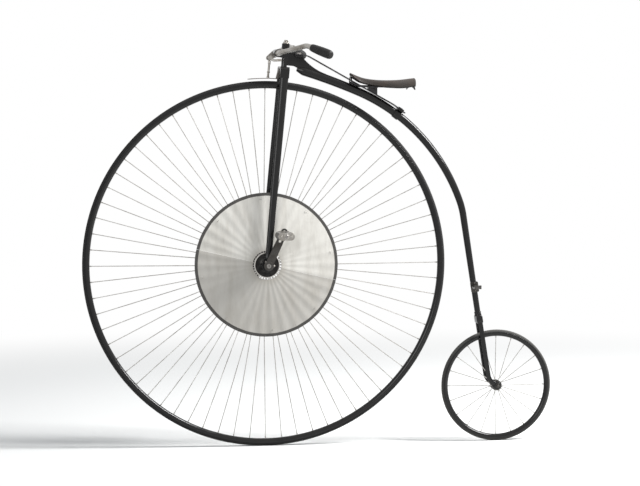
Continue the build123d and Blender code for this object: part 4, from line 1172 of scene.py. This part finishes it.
def makeStep():
    look = {
        "height": -0.096, "teeth": 7, "tooth": (0.024, 0.0022, 0.0018), "firstTooth": 0.010, "pitch": 0.0072,
        "treadTop": 0.003, "rivetUp": 0.014, "rivetIn": 0.005,
    }
    low, high = boxOf("mounting_step")
    seat = boneLength - (look["height"] - bone["legEnd"]) / cos(bone["legLean"])
    treadAt = boneAt(seat)[0].x
    treadTop = frontCentre.z + look["height"] + look["treadTop"]
    bm = copiedNode("mountingStep")
    for index in range(look["teeth"]):
        across = low.y + look["firstTooth"] + index * look["pitch"]
        block(bm, placed((treadAt, across, treadTop), (0, 0, 1), (1, 0, 0)), look["tooth"], 0.0005, 1)
    for above in (-1, 1):
        point = boneAt(seat + above * look["rivetUp"])[0]
        place = placed((point.x, high.y - look["rivetIn"], point.z), (0, -1, 0))
        roundHead(bm, place, 0.0038, 0.0022, 18)
    finishPiece("mountingStep", bm, "darkSteel", "frame", bevel=0.0008)


makeRearFork()
makeStep()
print("rear fork and step made")


# Saddle spring and its clip
def makeSpring():
    look = {
        "width": 0.032, "thick": 0.004, "run": 0.016, "bends": (0.060, 0.200), "clipAngle": radians(53.1),
        "clip": 0.024, "wall": 0.003, "lift": 0.001, "tail": (0.020, 0.010), "boltUp": 0.008, "boltOut": 0.020,
    }
    clipAt = bone["neckLength"] + bone["bowRadius"] * (bone["topAngle"] - look["clipAngle"])
    point, outward, onward = boneAt(clipAt)
    clipTube = boneRadius(clipAt - look["clip"] / 2)
    middle = point + outward * (clipTube + seatGap + look["wall"] + look["lift"] + look["thick"] / 2)
    level = pad["top"] + look["thick"] / 2
    before, after = (look["clip"] / 2 + tail for tail in look["tail"])
    route = [
        atFork(pad["from"] + seatGap, 0, level), atFork(pad["from"] + pad["size"][0] + look["run"], 0, level),
        middle - onward * before, middle + onward * after,
    ]
    bm = bmesh.new()
    size = (look["width"] / 2, look["thick"] / 2)
    tubeAlong(bm, bentRoute(route, look["bends"], 20), size, (0, 1, 0), 4, True)
    finishPiece("saddleSpring", bm, "spring", "frame", bevel=0.0009, bevelSteps=3, angle=60)

    bm = copiedNode("springClip")
    for hand in (-1, 1):
        bolt = point + outward * (clipTube + look["boltUp"]) + Vector((0, hand * look["boltOut"], 0))
        hexNut(bm, placed(bolt, (0, hand, 0), onward), 0.009, 0.0045, 0.0026)
    finishPiece("springClip", bm, "enamel", "frame", bevel=0.0009, bevelSteps=3, angle=30)

    bm = bmesh.new()
    hexNut(bm, onFork(pad["from"] + pad["size"][0] / 2, 0, pad["top"] + look["thick"]), 0.016, 0.006)
    finishPiece("springBolt", bm, "steel", "frame", bevel=0.0006)


makeSpring()


# Saddle: each row has a section's place behind the middle, its half width, crown and drop
saddleRows = (
    (-0.150, 0.027, 0.027, 0.015), (-0.100, 0.029, 0.008, 0.016), (-0.040, 0.042, 0.000, 0.020),
    (0.030, 0.076, 0.000, 0.026), (0.096, 0.088, 0.007, 0.026),
)
saddleEdge = 2.6


# Half width, crown and drop there, on smooth curves through the rows
def saddleShape(behind):
    last = len(saddleRows) - 1
    index = max(0, min(last - 1, sum(1 for row in saddleRows if row[0] <= behind) - 1))
    start, finish = saddleRows[index], saddleRows[index + 1]
    before, after = saddleRows[max(0, index - 1)], saddleRows[min(last, index + 2)]
    run = finish[0] - start[0]
    share = (behind - start[0]) / run
    shape = []
    for column in (1, 2, 3):
        leave = (finish[column] - before[column]) / (finish[0] - before[0]) * run
        arrive = (after[column] - start[column]) / (after[0] - start[0]) * run
        shape.append(
            (2 * share**3 - 3 * share**2 + 1) * start[column] + (share**3 - 2 * share**2 + share) * leave
            + (3 * share**2 - 2 * share**3) * finish[column] + (share**3 - share**2) * arrive
        )
    return shape


def saddlePoint(behind, across):
    halfWidth, crown, drop = saddleShape(behind)
    bend = (halfWidth**2 + drop**2) / (2 * drop)
    return Vector((behind, halfWidth * across, crown - bend + sqrt(bend**2 - (halfWidth * across) ** 2)))


def makeLeather():
    look = {
        "along": 96, "across": 72, "skin": 0.005, "groove": 0.0006, "line": 0.9, "lineWidth": 0.016,
        "tailLine": 0.955, "tailLineWidth": 0.006, "nose": 0.012, "noseShare": 0.15, "tail": 0.010,
        "tailShare": 0.2,
    }
    front, back = saddleRows[0][0], saddleRows[-1][0]
    bm = bmesh.new()
    bmesh.ops.create_grid(bm, x_segments=look["along"], y_segments=look["across"], size=1.0)
    for vert in bm.verts:
        share, across = (vert.co.x + 1) / 2, vert.co.y
        vert.co = saddlePoint(front + (back - front) * share, across)
        onSide = abs(abs(across) - look["line"]) < look["lineWidth"]
        onTail = abs(share - look["tailLine"]) < look["tailLineWidth"] and abs(across) < look["line"]
        if onSide or onTail:
            vert.co.z -= look["groove"]
        inNose = look["nose"] * max(0.0, 1 - share / look["noseShare"])
        inTail = look["tail"] * max(0.0, (share - 1 + look["tailShare"]) / look["tailShare"])
        vert.co.x += (inNose - inTail) * abs(across) ** saddleEdge
    thickened(bm, 2, -1, look["skin"])
    finishPiece("saddleLeather", bm, "leather", "frame", bevel=0.0012, bevelSteps=3, angle=50)


def makeRivets():
    rows = (
        {
            "across": (-0.86, -0.57, -0.28, 0.0, 0.28, 0.57, 0.86), "behind": 0.084, "bow": -0.006,
            "power": saddleEdge, "lean": 0.0, "spread": 0.45, "head": (0.0052, 0.0022),
        },
        {
            "across": (-0.62, 0.0, 0.62), "behind": -0.1435, "bow": 0.004, "power": 1, "lean": -0.25,
            "spread": 0.55, "head": (0.0042, 0.002),
        },
    )
    bm = bmesh.new()
    for row in rows:
        for across in row["across"]:
            point = saddlePoint(row["behind"] + row["bow"] * abs(across) ** row["power"], across)
            place = placed(point, (row["lean"], across * row["spread"], 1.0))
            roundHead(bm, place, *row["head"], 20)
    finishPiece("saddleRivets", bm, "nickel", "frame", ())


def makeSaddleFrame():
    look = {"boltsBehind": (-0.0715, -0.0545), "boltsAcross": (-0.024, 0.024), "boltHeight": -0.024}
    bm = copiedNode("saddleFrame")
    for across in look["boltsAcross"]:
        for behind in look["boltsBehind"]:
            place = placed((behind, across, look["boltHeight"]), (0, 0, -1), (1, 0, 0))
            hexNut(bm, place, 0.0075, 0.0035, 0.0019)
    finishPiece("saddleUnderframe", bm, "spring", "frame", ["saddle_frame"], bevel=0.0007)
    bm = copiedNode("saddleCantle")
    finishPiece("saddleCantle", bm, "spring", "frame", bevel=0.0008)


makeLeather()
makeRivets()
makeSaddleFrame()
print("saddle made")
